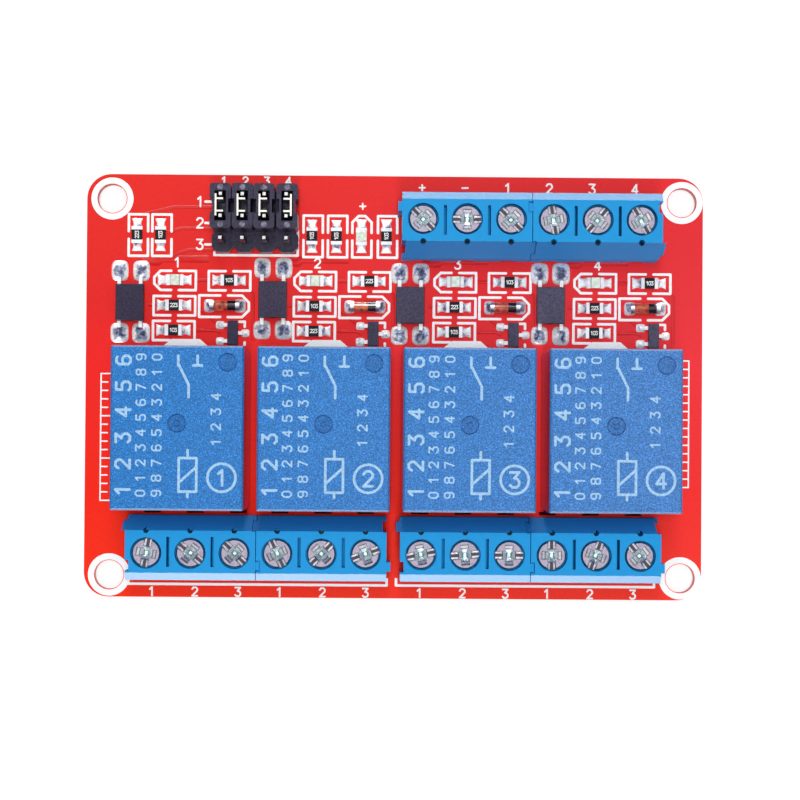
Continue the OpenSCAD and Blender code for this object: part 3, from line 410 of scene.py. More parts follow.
# %% Red solder mask: painted light and haze change its tone across and along the board; fine lacquer grain
# These tones lay painted light and haze over the lacquer's own red: they change across the board and along
# it.
LEFT_TONES = [(0.0, (252, 44, 10)), (0.25, (250, 34, 8)), (0.55, (244, 34, 30)), (0.7, (230, 36, 34)),
              (0.82, (232, 40, 34)), (1.0, (236, 42, 34))]
RIGHT_TONES = [(0.0, (250, 54, 40)), (0.25, (248, 46, 44)), (0.55, (244, 52, 60)), (0.7, (232, 50, 58)),
               (0.82, (232, 46, 54)), (1.0, (236, 44, 50))]


def solder_mask(name, left, right, factor=1.0):
    """A lacquer; left and right are the tones of the two short edges, from front to back, with painted light
    and haze in them.
    """
    material, tree, skin = new_material(name)
    along = grey(tree, own_axis(tree, "X"), 0.0, 1.0, BOARD[0][0], BOARD[1][0])
    depth = grey(tree, own_axis(tree, "Y"), 0.0, 1.0, BOARD[0][1], BOARD[1][1])
    edges = [ramp(tree, depth, [(place, shade(linear(*tone), factor)) for place, tone in tones])
             for tones in (left, right)]
    fine = noise(tree, 2500.0, 3.0, 0.6)
    tint = ramp(tree, fine, [(0.3, shade(WHITE, 0.93)), (0.7, WHITE)])
    feed(tree, skin, {"Base Color": times(tree, mixed(tree, along, *edges), tint), "Specular IOR Level": 0.22,
                      "Roughness": grey(tree, fine, 0.42, 0.30)})
    bump(tree, skin, fine, 0.2, 0.00001)
    return material


mask_red = solder_mask("mask_red", LEFT_TONES, RIGHT_TONES)
mask_trace = solder_mask("mask_trace", LEFT_TONES, RIGHT_TONES, 0.92)

# %% Winding of fine copper wire: thin bands round the coil
def copper_winding(name):
    material, tree, skin = new_material(name)
    wave = node(tree, "ShaderNodeTexWave", {
        "Scale": 1600.0, "Distortion": 0.6, "Vector": own_place(tree)}, bands_direction="Z")
    bands = wave.outputs["Fac"]
    feed(tree, skin, {
        "Base Color": ramp(tree, bands, [(0.0, linear(120, 56, 24)), (1.0, linear(204, 118, 62))]),
        "Metallic": 0.85, "Roughness": 0.3})
    bump(tree, skin, bands, 0.6, 0.00004)
    return material


coil_copper = copper_winding("coil_copper")

# %% Glass of the diodes: orange-red glass with the dark cathode band at one end
DIODE_BAND = 0.00095
DIODE_BOXES = solids_of("diode_glass")
DIODES = [middle(b) for b in DIODE_BOXES]
diode_half = (DIODE_BOXES[0][1] - DIODE_BOXES[0][0]).x / 2


def banded_glass(name, ends):
    """Glass with a dark band that stops at each of the ends, which are X values."""
    material, tree, skin = new_material(name)
    along = own_axis(tree, "X")
    band = 0.0
    for end in ends:
        inside = maths(tree, "COMPARE", along, end - DIODE_BAND / 2, DIODE_BAND / 2)
        band = maths(tree, "MAXIMUM", inside, band)
    cloud = noise(tree, 1400.0, 3.0)
    glass = ramp(tree, cloud, [(0.35, linear(150, 34, 22)), (0.65, linear(226, 112, 78))])
    feed(tree, skin, {"Base Color": mixed(tree, band, glass, linear(38, 18, 30)), "Roughness": 0.08,
                      "Coat Weight": 0.5})
    bump(tree, skin, cloud, 0.15, 0.00002)
    return material


diode_glass = banded_glass("diode_glass_red", [d.x + diode_half for d in DIODES])
print("all finishes:", len(bpy.data.materials))

# %% Hand the finishes to the CAD nodes
FINISH = {
    "circuit_board": mask_red, "output_terminal": terminal_blue, "input_terminal": terminal_blue,
    "terminal_screws": screw_steel, "wire_clamps": clamp_steel, "output_terminal_pins": strip_tin,
    "input_terminal_pins": strip_tin, "header_base": header_black, "header_pins": pin_tin,
    "jumper_cap": jumper_black, "jumper_clips": clip_steel, "relay_case": relay_blue,
    "relay_base": base_blue, "relay_bobbin": bobbin_ivory, "relay_winding": coil_copper,
    "relay_yoke": relay_iron, "relay_armature": relay_iron, "contact_spring": spring_bronze,
    "fixed_contacts": contact_brass, "solder_joints": solder_tin, "optocoupler_bodies": chip_black,
    "optocoupler_leads": tin_plate, "resistor_bodies": resistor_black, "chip_end_caps": tin_plate,
    "led_bodies": led_resin, "diode_glass": diode_glass, "diode_caps": tin_plate,
    "transistor_bodies": chip_black, "transistor_leads": tin_plate,
}


for part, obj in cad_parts.items():
    stem = part if part in FINISH else part.rsplit("_", 1)[0]
    obj.data.materials.clear()
    obj.data.materials.append(FINISH[stem])
print("dressed", len(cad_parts), "CAD nodes")

# %% [markdown]
# ## A finished piece
# Everything added to the board ends the same way: it rides on the board's body and has its place
# in its mesh, never in its object. A piece that a node tree makes is first turned into a plain
# mesh, and the object that carried the tree goes.

# %% Finish a piece
def finish_piece(name, mesh):
    obj = put(name, mesh)
    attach(obj, BODY)
    print(name, len(mesh.polygons), "faces")
    return obj


# %% Run a node tree
def grown(name, seed_mesh, tree, values):
    """Runs a geometry node tree on a mesh and keeps the result as a plain mesh."""
    carrier = put(name + "_seed", seed_mesh)
    modifier = carrier.modifiers.new("grow", "NODES")
    modifier.node_group = tree
    sockets = {i.name: i.identifier for i in tree.interface.items_tree if i.in_out == "INPUT"}
    for key, value in values.items():
        modifier[sockets[key]] = value
    bpy.context.view_layer.update()
    graph = bpy.context.evaluated_depsgraph_get()
    mesh = bpy.data.meshes.new_from_object(carrier.evaluated_get(graph), depsgraph=graph)
    mesh.name = name
    bpy.data.objects.remove(carrier)
    bpy.data.meshes.remove(seed_mesh)
    return finish_piece(name, mesh)


def paths_mesh(name, paths, z):
    """A mesh of edges only, from lists of (x, y) points in millimetres at one height."""
    verts, edges = [], []
    for path in paths:
        first = len(verts)
        verts += [(x * MM, y * MM, z) for x, y in path]
        edges += [(first + i, first + i + 1) for i in range(len(path) - 1)]
    mesh = bpy.data.meshes.new(name)
    mesh.from_pydata(verts, edges, [])
    return mesh


# %% Tree helpers
def new_tree(name, wanted):
    """A geometry node tree with its geometry and the wanted (label, kind, value) as inputs, and
    the node that gives them."""
    tree = bpy.data.node_groups.new(name, "GeometryNodeTree")
    for way in ("OUTPUT", "INPUT"):
        tree.interface.new_socket("Geometry", in_out=way, socket_type="NodeSocketGeometry")
    for label, kind, value in wanted:
        item = tree.interface.new_socket(label, in_out="INPUT", socket_type="NodeSocket" + kind)
        if value is not None:
            item.default_value = value
    return tree, tree.nodes.new("NodeGroupInput").outputs


def ending(tree, shapes, material):
    """Joins the shapes, makes them real and gives them their material."""
    joined = tree.nodes.new("GeometryNodeJoinGeometry")
    for shape in reversed(shapes):
        tree.links.new(shape, joined.inputs["Geometry"])
    real = node(tree, "GeometryNodeRealizeInstances", {"Geometry": joined.outputs[0]})
    painted = node(tree, "GeometryNodeSetMaterial", {"Geometry": real.outputs[0], "Material": material})
    node(tree, "NodeGroupOutput", {"Geometry": painted.outputs[0]})
    return tree


# %% [markdown]
# ## Printed lines
# The white legend is screen printed: every outline and digit is a stroke of one width with round
# ends. A node tree suits it. It puts a flat bar on every edge of a line drawing and a flat disc
# on every corner, so that the joints stay round, and the drawing is only a list of points. The
# bars differ a little in height, because two faces at exactly one height flicker where they cross.

# %% The stroke tree
INK = 0.00002


def stroke_tree():
    tree, given = new_tree("printed strokes", [
        ("Line width", "Float", 0.0003), ("Ink height", "Float", INK), ("Ink", "Material", None)])
    ends = node(tree, "GeometryNodeInputMeshEdgeVertices")
    way = node(tree, "ShaderNodeVectorMath", {0: ends.outputs["Position 2"], 1: ends.outputs["Position 1"]},
               operation="SUBTRACT")
    kept = node(tree, "GeometryNodeCaptureAttribute", domain="EDGE")
    kept.capture_items.new("VECTOR", "Way")
    feed(tree, kept, {"Geometry": given["Geometry"], "Way": way.outputs[0]})
    spots = node(tree, "GeometryNodeMeshToPoints", {"Mesh": kept.outputs["Geometry"]}, mode="EDGES")
    length = node(tree, "ShaderNodeVectorMath", {0: kept.outputs["Way"]}, operation="LENGTH")
    uneven = node(tree, "FunctionNodeRandomValue", {2: 0.7, 3: 1.0})
    size = node(tree, "ShaderNodeCombineXYZ", {
        "X": length.outputs["Value"], "Y": given["Line width"],
        "Z": maths(tree, "MULTIPLY", given["Ink height"], uneven.outputs[1])})
    aim = node(tree, "FunctionNodeAlignRotationToVector", {"Vector": kept.outputs["Way"]}, axis="X")
    bar = node(tree, "GeometryNodeMeshCube")
    bars = node(tree, "GeometryNodeInstanceOnPoints", {
        "Points": spots.outputs[0], "Instance": bar.outputs["Mesh"], "Rotation": aim.outputs[0],
        "Scale": size.outputs[0]})
    corners = node(tree, "GeometryNodeMeshToPoints", {"Mesh": given["Geometry"]}, mode="VERTICES")
    chance = node(tree, "FunctionNodeRandomValue", {2: 1.05, 3: 1.45})
    tall = node(tree, "ShaderNodeCombineXYZ", {"X": 1.0, "Y": 1.0, "Z": chance.outputs[1]})
    half = maths(tree, "MULTIPLY", given["Line width"], 0.5)
    disc = node(tree, "GeometryNodeMeshCylinder", {
        "Vertices": 14, "Radius": half, "Depth": given["Ink height"]})
    discs = node(tree, "GeometryNodeInstanceOnPoints", {
        "Points": corners.outputs[0], "Instance": disc.outputs["Mesh"], "Scale": tall.outputs[0]})
    return ending(tree, [bars.outputs[0], discs.outputs[0]], given["Ink"])


STROKES = stroke_tree()


def printed(name, paths, width, z, ink=ink_white):
    values = {"Line width": width * MM, "Ink height": INK, "Ink": ink}
    return grown(name, paths_mesh(name, paths, z + INK / 2), STROKES, values)


# %% [markdown]
# ## Outlines round the small parts
# Each chip has a printed frame with a gap in the middle of its long sides. The frame of a light
# or a diode has two corners cut off at the end where the current leaves. The frames sit where
# the CAD chips are, shifted by the small error that a print always has.

# %% Chip frames
LINE, FRAME_GAP = 0.3, 0.92
CHIP_FRAME, DIODE_FRAME = (4.92, 2.28), (5.88, 2.55)
LED_CUT, DIODE_CUT = 0.75, 0.8
RESISTOR_SHIFT = {True: (0.14, -0.02), False: (0.04, -0.06)}
LED_SHIFT = {True: (0.06, -0.02), False: (-0.01, -0.06)}
DIODE_SHIFT = (-0.09, -0.06)


def turned(x, y, turn, points):
    """Points turned by that many degrees and moved to x, y."""
    c, s = math.cos(math.radians(turn)), math.sin(math.radians(turn))
    return [(x + a * c - b * s, y + a * s + b * c) for a, b in points]


def chip_frame(x, y, shift, size=CHIP_FRAME, cut=0.0, turn=0.0):
    """Centre lines of a chip's frame; cut takes the corners off at its +X end."""
    l, w, g = size[0] / 2, size[1] / 2, FRAME_GAP / 2
    left = [(-g, w), (-l, w), (-l, -w), (-g, -w)]
    right = [(g, w), (l - cut, w), (l, w - cut), (l, cut - w), (l - cut, -w), (g, -w)]
    if not cut:
        right = [(g, w), (l, w), (l, -w), (g, -w)]
    return [turned(x + shift[0], y + shift[1], turn, path) for path in (left, right)]


CHIP_ENDS = [middle(b) for b in solids_of("chip_end_caps")]


def placed(box):
    """A chip's middle in millimetres, and whether its metal ends stand across the board."""
    c = middle(box)
    way = min(CHIP_ENDS, key=lambda e: (e - c).length) - c
    return c.x / MM, c.y / MM, abs(way.y) > abs(way.x)


RESISTORS = [placed(b) for b in solids_of("resistor_bodies")]
LEDS = [placed(b) for b in solids_of("led_bodies")]
outlines = []
for x, y, across in RESISTORS:
    outlines += chip_frame(x, y, RESISTOR_SHIFT[across], turn=90 if across else 0)
for x, y, across in LEDS:
    outlines += chip_frame(x, y, LED_SHIFT[across], cut=LED_CUT, turn=90 if across else 180)
for d in DIODES:
    outlines += chip_frame(d.x / MM, d.y / MM, DIODE_SHIFT, DIODE_FRAME, DIODE_CUT)
print(len(outlines), "frame halves")

# %% Header frame, bracket marks and border lines
header_lo, header_hi = (Vector(v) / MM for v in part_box("header_base"))
HEADER = (header_lo + header_hi) / 2
PITCH = (header_hi.y - header_lo.y) / 3
ROW_Y = [HEADER.y + row * PITCH - 0.24 for row in (1, 0, -1)]
ROW_TICK = 1.0
HEADER_LEFT, HEADER_FRONT = header_lo.x + 0.2, header_lo.y - 0.22
HEADER_RIGHT = header_hi.x - 0.1
outlines.append([(HEADER_LEFT, HEADER_FRONT + 0.3), (HEADER_LEFT, HEADER_FRONT), (HEADER_RIGHT, HEADER_FRONT),
                 (HEADER_RIGHT, HEADER_FRONT + 3.0)])
for y in reversed(ROW_Y):
    outlines.append([(HEADER_LEFT - 0.1 - ROW_TICK, y), (HEADER_LEFT - 0.1, y)])

BRACKET_X, BRACKET_Y, BRACKET_FOOT = 1.4, 1.35, 1.1
for box in solids_of("transistor_bodies"):
    x, y, _ = placed(box)
    side = x + BRACKET_X
    outlines.append([(x + 0.74, y + BRACKET_Y), (side, y + BRACKET_Y), (side, y + 0.75)])
    outlines.append([(side, y - BRACKET_FOOT), (side, y - BRACKET_Y)])

SPAN_FRONT, SPAN_ARM, SPAN_LEFT, SPAN_RIGHT = 0.82, 0.75, 0.1, 0.35
for pair in ((1, 2), (3, 4)):
    lo, hi = (Vector(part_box("output_terminal_%d" % n)[end]) / MM for end, n in enumerate(pair))
    start, stop, y = lo.x + SPAN_LEFT, hi.x - SPAN_RIGHT, lo.y - SPAN_FRONT
    outlines.append([(start, y + SPAN_ARM), (start, y), (stop, y), (stop, y + SPAN_ARM)])
printed("print_outlines", outlines, LINE, TOP)

# %% [markdown]
# ## Numbers
# The legend uses plain numbers only: terminals, jumpers and channels are counted from one. Each
# digit is drawn as a few strokes in a cell of its own, 0.6 wide and 1 high, and is then scaled
# and placed, so the same stroke tree prints it with a finer line.

# %% Stroke digits
DIGITS = {
    "0": [[(0, .2), (0, .8), (.18, 1), (.42, 1), (.6, .8), (.6, .2), (.42, 0), (.18, 0), (0, .2)]],
    "1": [[(.08, .76), (.34, 1), (.34, 0)]],
    "2": [[(0, .8), (.16, 1), (.44, 1), (.6, .82), (.6, .62), (0, 0), (.6, 0)]],
    "3": [[(0, 1), (.6, 1), (.28, .6), (.46, .56), (.6, .4), (.6, .16), (.44, 0), (.14, 0), (0, .14)]],
    "4": [[(.46, 0), (.46, 1), (0, .3), (.6, .3)]],
    "5": [[(.56, 1), (.06, 1), (.03, .58), (.42, .6), (.6, .44), (.6, .14), (.44, 0), (.12, 0), (0, .12)]],
    "6": [[(.52, .94), (.4, 1), (.16, 1), (0, .8), (0, .16), (.16, 0), (.44, 0), (.6, .16), (.6, .4),
           (.44, .56), (.14, .56), (0, .42)]],
    "7": [[(0, 1), (.6, 1), (.22, 0)]],
    "8": [[(.16, .54), (0, .7), (0, .86), (.14, 1), (.46, 1), (.6, .86), (.6, .7), (.44, .54), (.16, .54),
           (0, .38), (0, .14), (.14, 0), (.46, 0), (.6, .14), (.6, .38), (.44, .54)]],
    "9": [[(.08, .06), (.2, 0), (.44, 0), (.6, .2), (.6, .84), (.44, 1), (.16, 1), (0, .84), (0, .6),
           (.16, .44), (.46, .44), (.6, .58)]],
    "+": [[(0, .5), (.6, .5)], [(.3, .2), (.3, .8)]],
    "-": [[(0, .5), (.6, .5)]],
    " ": [],
}
DIGIT_WIDE = 0.6


def number(text, x, y, high, turn=0.0, pitch=0.86):
    """Strokes of a number whose middle is at x, y."""
    wide = (len(text) - 1) * pitch + DIGIT_WIDE
    paths = []
    for place, sign in enumerate(text):
        for path in DIGITS[sign]:
            points = [((px + place * pitch - wide / 2) * high, (py - 0.5) * high) for px, py in path]
            paths.append(turned(x, y, turn, points))
    return paths


# %% Numbers on the board
PIN_PITCH = 2.54
CHANNEL_SHIFT, CHANNEL_Y, CHANNEL_HIGH = -1.1, 14.75, 1.05
JUMPER_ABOVE, JUMPER_HIGH = 0.98, 0.9
ROW_BESIDE, ROW_HIGH = 1.75, 1.15
OUT_BELOW, OUT_HIGH = 4.83, 1.0
IN_ABOVE, IN_HIGH = 4.45, 1.1
PLUS_X, PLUS_Y = -4.1, 21.55
SCREWS = sorted((middle(b) / MM for b in solids_of("terminal_screws")), key=lambda p: (p.y, p.x))
OUT_SCREWS, IN_SCREWS = SCREWS[:12], SCREWS[12:]
numbers = []
for n, (x, y) in enumerate(RELAY_XY, 1):
    numbers += number(str(n), x + CHANNEL_SHIFT, CHANNEL_Y, CHANNEL_HIGH)
for n in range(1, 5):
    x = HEADER.x + (n - 2.5) * PIN_PITCH
    numbers += number(str(n), x, header_hi.y + JUMPER_ABOVE, JUMPER_HIGH)
for n, y in enumerate(ROW_Y, 1):
    numbers += number(str(n), HEADER_LEFT - ROW_BESIDE, y, ROW_HIGH)
numbers += number("+", PLUS_X, PLUS_Y, IN_HIGH)
for n, p in enumerate(OUT_SCREWS):
    numbers += number(str(n % 3 + 1), p.x, p.y - OUT_BELOW, OUT_HIGH)
for text, p in zip("+-1234", IN_SCREWS):
    numbers += number(text, p.x, p.y + IN_ABOVE, IN_HIGH)
printed("print_numbers", numbers, 0.2, TOP)

# %% Scales along the two short edges
TICKS, LONG_EVERY, LONG_TICK, SHORT_TICK = 15, 5, 1.5, 0.8
scales = []
for side, x, low in ((-1, -34.9, -13.5), (1, 34.7, -11.5)):
    for step in range(TICKS + 1):
        long = step % LONG_EVERY == 0
        scales.append([(x, low + step), (x - side * (LONG_TICK if long else SHORT_TICK), low + step)])
        if long:
            scales += number(str(step // LONG_EVERY), x - side * 2.2, low + step, 0.9, 90)
    scales.append([(x, low), (x, low + TICKS)])
printed("print_scales", scales, 0.16, TOP)

# %% [markdown]
# ## Solid print
# Four broad white rings mark the mounting holes, and a white bar with sloping ends marks the
# coil side of each relay. These are filled shapes, not strokes, so they are built as flat
# prisms: an outline, a top face and the wall round it.

# %% Flat shapes
def belt(bm, here, there):
    """Faces between two closed loops of as many points."""
    for i in range(len(here)):
        j = (i + 1) % len(here)
        bm.faces.new((here[i], here[j], there[j], there[i]))


def prism(bm, outline, thick):
    """A closed prism over an outline of (x, y) points in millimetres, counter-clockwise."""
    low, high = ([bm.verts.new((x * MM, y * MM, z)) for x, y in outline] for z in (TOP, TOP + thick))
    bm.faces.new(list(reversed(low)))
    bm.faces.new(high)
    belt(bm, low, high)


def washer(bm, x, y, inner, outer, sides=48):
    """A flat ring as thick as the ink round x, y, in millimetres."""
    angles = [math.tau * i / sides for i in range(sides)]
    loops = []
    for radius, z in ((inner, TOP), (outer, TOP), (outer, TOP + INK), (inner, TOP + INK)):
        loops.append([bm.verts.new(((x + radius * math.cos(a)) * MM, (y + radius * math.sin(a)) * MM, z))
                      for a in angles])
    for here, there in zip(loops, loops[1:] + loops[:1]):
        belt(bm, here, there)


def mesh_of(name, bm):
    bmesh.ops.recalc_face_normals(bm, faces=bm.faces)
    mesh = bpy.data.meshes.new(name)
    bm.to_mesh(mesh)
    bm.free()
    return mesh


def built(name, bm, material):
    mesh = mesh_of(name, bm)
    mesh.materials.append(material)
    return finish_piece(name, mesh)


# %% Rings and bars
HOLE_X, HOLE_Y, RING_IN, RING_OUT = 33.75, 22.25, 1.78, 2.5
COIL_BAR = [(-2.6, 0.1), (2.5, 0.1), (2.5, 0.42), (1.65, 1.16), (-1.66, 1.16), (-2.6, 0.42)]
bm = bmesh.new()
for x in (-HOLE_X, HOLE_X):
    for y in (-HOLE_Y, HOLE_Y):
        washer(bm, x, y, RING_IN, RING_OUT)
for x, y in RELAY_XY:
    prism(bm, [(x + px, RELAY_BACK + py) for px, py in COIL_BAR], INK * 1.5)
built("print_solid", bm, ink_white)

# %% [markdown]
# ## Relay tops
# The roof of each relay carries a white pad print. A real one names its maker and ratings; here
# it is a neutral drawing of what the relay does: the coil, the change-over contact, pin numbers,
# the channel number in a ring, and rows of plain figures in the places of the lines of text.

# %% Relay print
RING_X, RING_Y, RING_R, RING_SIDES = 5.1, -5.6, 1.6, 24
FINE_HIGH, FINE_PITCH = 1.02, 0.84
FINE_ROWS = [("0 1 2 3 4 5 6 7 8 9", -4.1, 0.3), ("9 8 7 6 5 4 3 2 1 0", -2.3, 0.3), ("1 2 3 4", 4.4, 1.0)]
PRINT_Z = RELAY_TOP - 0.000015


def coil_symbol(x, y):
    """A coil's circuit symbol: a box with a slanting line and its two leads."""
    box = [(x - 1, y - 1.9), (x + 1, y - 1.9), (x + 1, y + 1.9), (x - 1, y + 1.9), (x - 1, y - 1.9)]
    leads = [[(x, y + 1.9), (x, y + 2.8)], [(x, y - 1.9), (x, y - 2.5)]]
    return [box, [(x - 1, y - .9), (x + 1, y + .9)]] + leads


def contact_symbol(x, y):
    """A change-over contact's symbol: the arm on one of two poles."""
    return [[(x, y - 2.4), (x, y - 1), (x - 1.1, y + 1.2)], [(x - 1.2, y + 1.2), (x - 1.2, y + 2.3)],
            [(x + 1.0, y + 1.2), (x + 1.0, y + 2.3)], [(x + .5, y + 1.2), (x + 1.5, y + 1.2)]]


def relay_drawing(x, y, channel):
    """Heavy strokes of one relay's print about its middle."""
    turns = [math.tau * i / RING_SIDES for i in range(RING_SIDES + 1)]
    paths = number("1 2 3 4 5 6", x - 6.1, y + 0.3, 1.6, 90, 0.92)
    paths += coil_symbol(x + 1.25, y - 5.3) + contact_symbol(x + 1.3, y + 5.9)
    paths.append([(x + RING_X + RING_R * math.cos(a), y + RING_Y + RING_R * math.sin(a)) for a in turns])
    return paths + number(str(channel), x + RING_X, y + RING_Y, 1.7)


def relay_figures(x, y):
    """Its fine strokes: two columns of figures and a short one."""
    return [path for text, px, py in FINE_ROWS
            for path in number(text, x + px, y + py, FINE_HIGH, 90, FINE_PITCH)]


for n, (x, y) in enumerate(RELAY_XY, 1):
    printed("relay_print_%d" % n, relay_drawing(x, y, n), 0.30, PRINT_Z, pad_print)
    printed("relay_figures_%d" % n, relay_figures(x, y), 0.19, PRINT_Z, pad_print)

# %% [markdown]
# ## Solder
# Solder wets the metal end of a chip and runs down to its pad: a bright hollow-cheeked ramp.
# Under a lead it is a round mound. One template of each is modelled in millimetres round its
# own origin, reaching along +X, and a node tree puts a copy on every joint, turned the right way
# and a little different each time, with a fixed seed.

# %% The solder tree
def spread_tree():
    tree, given = new_tree("solder spots", [
        ("Spot", "Object", None), ("Uneven", "Float", 0.08), ("Seed", "Int", 7),
        ("Solder", "Material", None)])
    spots = node(tree, "GeometryNodeMeshToPoints", {"Mesh": given["Geometry"]}, mode="VERTICES")
    shape = node(tree, "GeometryNodeObjectInfo", {"Object": given["Spot"]})
    way, size = (node(tree, "GeometryNodeInputNamedAttribute", {"Name": name}, data_type="FLOAT_VECTOR")
                 for name in ("way", "size"))
    aim = node(tree, "FunctionNodeAlignRotationToVector", {"Vector": way.outputs["Attribute"]}, axis="X")
    luck = node(tree, "FunctionNodeRandomValue", {
        2: maths(tree, "SUBTRACT", 1.0, given["Uneven"]), 3: maths(tree, "ADD", 1.0, given["Uneven"]),
        "Seed": given["Seed"]})
    scale = node(tree, "ShaderNodeVectorMath", {0: size.outputs["Attribute"], "Scale": luck.outputs[1]},
                 operation="SCALE")
    copies = node(tree, "GeometryNodeInstanceOnPoints", {
        "Points": spots.outputs[0], "Instance": shape.outputs["Geometry"], "Rotation": aim.outputs[0],
        "Scale": scale.outputs[0]})
    return ending(tree, [copies.outputs[0]], given["Solder"])


SPREAD = spread_tree()


def scattered(name, spot, places, seed, uneven):
    """Smooth copies of a template; places are (x, y, turn in degrees, size x, y, z), in mm."""
    mesh = bpy.data.meshes.new(name)
    mesh.from_pydata([(p[0] * MM, p[1] * MM, TOP) for p in places], [], [])
    ways = mesh.attributes.new("way", "FLOAT_VECTOR", "POINT")
    sizes = mesh.attributes.new("size", "FLOAT_VECTOR", "POINT")
    for i, p in enumerate(places):
        angle = math.radians(p[2])
        ways.data[i].vector = (math.cos(angle), math.sin(angle), 0)
        sizes.data[i].vector = p[3:6]
    values = {"Spot": spot, "Uneven": uneven, "Seed": seed, "Solder": chip_tin}
    piece = grown(name, mesh, SPREAD, values)
    bpy.data.objects.remove(spot)
    piece.data.shade_smooth()


# %% A fillet against a chip's end: a ramp hollowed along its length and its sides
EDGE = 0.04


def fillet_template(steps=7, across=7):
    bm = bmesh.new()
    rows = []
    for i in range(steps + 1):
        u = i / steps
        high = (1 - EDGE) * (1 - u) ** 2.1
        half = 0.5 * (0.94 - 0.22 * math.sin(math.pi * min(u * 1.1, 1)) + 0.08 * u)
        rows.append([bm.verts.new((u * MM, 2 * half * (j / across - 0.5) * MM,
                     (EDGE + high * (1 - (2 * j / across - 1) ** 4)) * MM)) for j in range(across + 1)])
    floor = [[bm.verts.new((v.co.x, v.co.y, 0)) for v in row] for row in rows]
    for i in range(steps):
        for j in range(across):
            bm.faces.new((rows[i][j], rows[i + 1][j], rows[i + 1][j + 1], rows[i][j + 1]))
            bm.faces.new((floor[i][j], floor[i][j + 1], floor[i + 1][j + 1], floor[i + 1][j]))
        for j in (0, across):
            bm.faces.new((rows[i][j], rows[i + 1][j], floor[i + 1][j], floor[i][j]))
    for i in (0, steps):
        for j in range(across):
            bm.faces.new((rows[i][j], rows[i][j + 1], floor[i][j + 1], floor[i][j]))
    return put("fillet_spot", mesh_of("fillet_spot", bm))


FILLET_LONG, FILLET_WIDE, FILLET_SHARE, OVERLAP = 1.0, 1.3, 0.85, 0.00002
fillets = []
ends = solids_of("chip_end_caps")
for body in solids_of("resistor_bodies") + solids_of("led_bodies"):
    c = middle(body)
    for end in sorted(ends, key=lambda e: (middle(e).xy - c.xy).length)[:2]:
        way = (middle(end) - c).xy
        reach = (end[1] - end[0]).xy.dot(Vector((abs(way.x), abs(way.y))).normalized()) / 2
        start = (middle(end).xy + way.normalized() * (reach - OVERLAP)) / MM
        fillets.append((*start, math.degrees(math.atan2(way.y, way.x)), FILLET_LONG, FILLET_WIDE,
                        (end[1].z - TOP) / MM * FILLET_SHARE))
scattered("chip_solder", fillet_template(), fillets, 11, 0.08)

# %% A mound's shape
def mound_template(rings=6, sides=24):
    """A low round mound on a square pad with round corners."""
    bm = bmesh.new()
    layers = []
    for r in range(rings + 1):
        u = r / rings
        high = 0.05 + 0.95 * math.cos(min(u * 1.05, 1) * math.pi / 2) ** 1.2
        layer = []
        for i in range(sides):
            a = math.tau * i / sides
            spread = u * 0.5 / (abs(math.cos(a)) ** 4 + abs(math.sin(a)) ** 4) ** 0.25
            layer.append((spread * math.cos(a) * MM, spread * math.sin(a) * MM, high * MM))
        layers.append(layer)
    peak = bm.verts.new((0, 0, layers[0][0][2]))
    rows = [[bm.verts.new(point) for point in layer] for layer in layers[1:]]
    rows.append([bm.verts.new((v.co.x, v.co.y, 0)) for v in rows[-1]])
    foot = bm.verts.new((0, 0, 0))
    for i in range(sides):
        j = (i + 1) % sides
        bm.faces.new((peak, rows[0][i], rows[0][j]))
        for here, there in zip(rows, rows[1:]):
            bm.faces.new((here[i], there[i], there[j], here[j]))
        bm.faces.new((rows[-1][i], foot, rows[-1][j]))
    return put("mound_spot", mesh_of("mound_spot", bm))


# %% Mounds under the leads
def nearest(p, others):
    return min(others, key=lambda other: (other.xy - p.xy).length)


BACK_LEAD, FRONT_LEAD = (90, 2.5, 2.05, 0.55), (-90, 2.25, 2.05, 0.55)
DIODE_MOUND, TRANSISTOR_MOUND = (0, 1.35, 1.6, 0.55), (0, 1.05, 0.95, 0.22)
OPTOS, TRANSISTORS = ([middle(b) for b in solids_of(name)]
                      for name in ("optocoupler_bodies", "transistor_bodies"))
mounds = []
for lead in solids_of("optocoupler_leads"):
    p = middle(lead)
    if p.y > nearest(p, OPTOS).y:
        mounds.append((p.x / MM, lead[1].y / MM + 0.3, *BACK_LEAD))
    else:
        mounds.append((p.x / MM, lead[0].y / MM - 0.05, *FRONT_LEAD))
for cap in solids_of("diode_caps"):
    p = middle(cap)
    out = 0.28 if p.x > nearest(p, DIODES).x else -0.28
    mounds.append((p.x / MM + out, p.y / MM, *DIODE_MOUND))
for lead in solids_of("transistor_leads"):
    p = middle(lead)
    x = lead[1].x / MM if p.x > nearest(p, TRANSISTORS).x else lead[0].x / MM - 0.05
    mounds.append((x, p.y / MM, *TRANSISTOR_MOUND))
scattered("lead_solder", mound_template(), mounds, 23, 0.06)

# %% [markdown]
# ## Copper under the mask
# The tracks are copper strips 0.03 mm thick with red lacquer over them, so they show only as
# faint ridges. A node tree sweeps a flat profile along each route. The routes are drawn to join
# what the circuit joins: header to resistors, light to resistor, and on the underside the relay
# contacts to their terminals with broad tracks.

# %% The track tree
COPPER = 0.00003


def track_tree():
    tree, given = new_tree("copper tracks", [
        ("Track width", "Float", 0.0004), ("Copper height", "Float", COPPER), ("Lacquer", "Material", None)])
    line = node(tree, "GeometryNodeMeshToCurve", {"Mesh": given["Geometry"]})
    profile = node(tree, "GeometryNodeCurvePrimitiveQuadrilateral", {
        "Width": given["Track width"], "Height": given["Copper height"]})
    strip = node(tree, "GeometryNodeCurveToMesh", {
        "Curve": line.outputs[0], "Profile Curve": profile.outputs[0], "Fill Caps": True})
    return ending(tree, [strip.outputs[0]], given["Lacquer"])


TRACKS = track_tree()


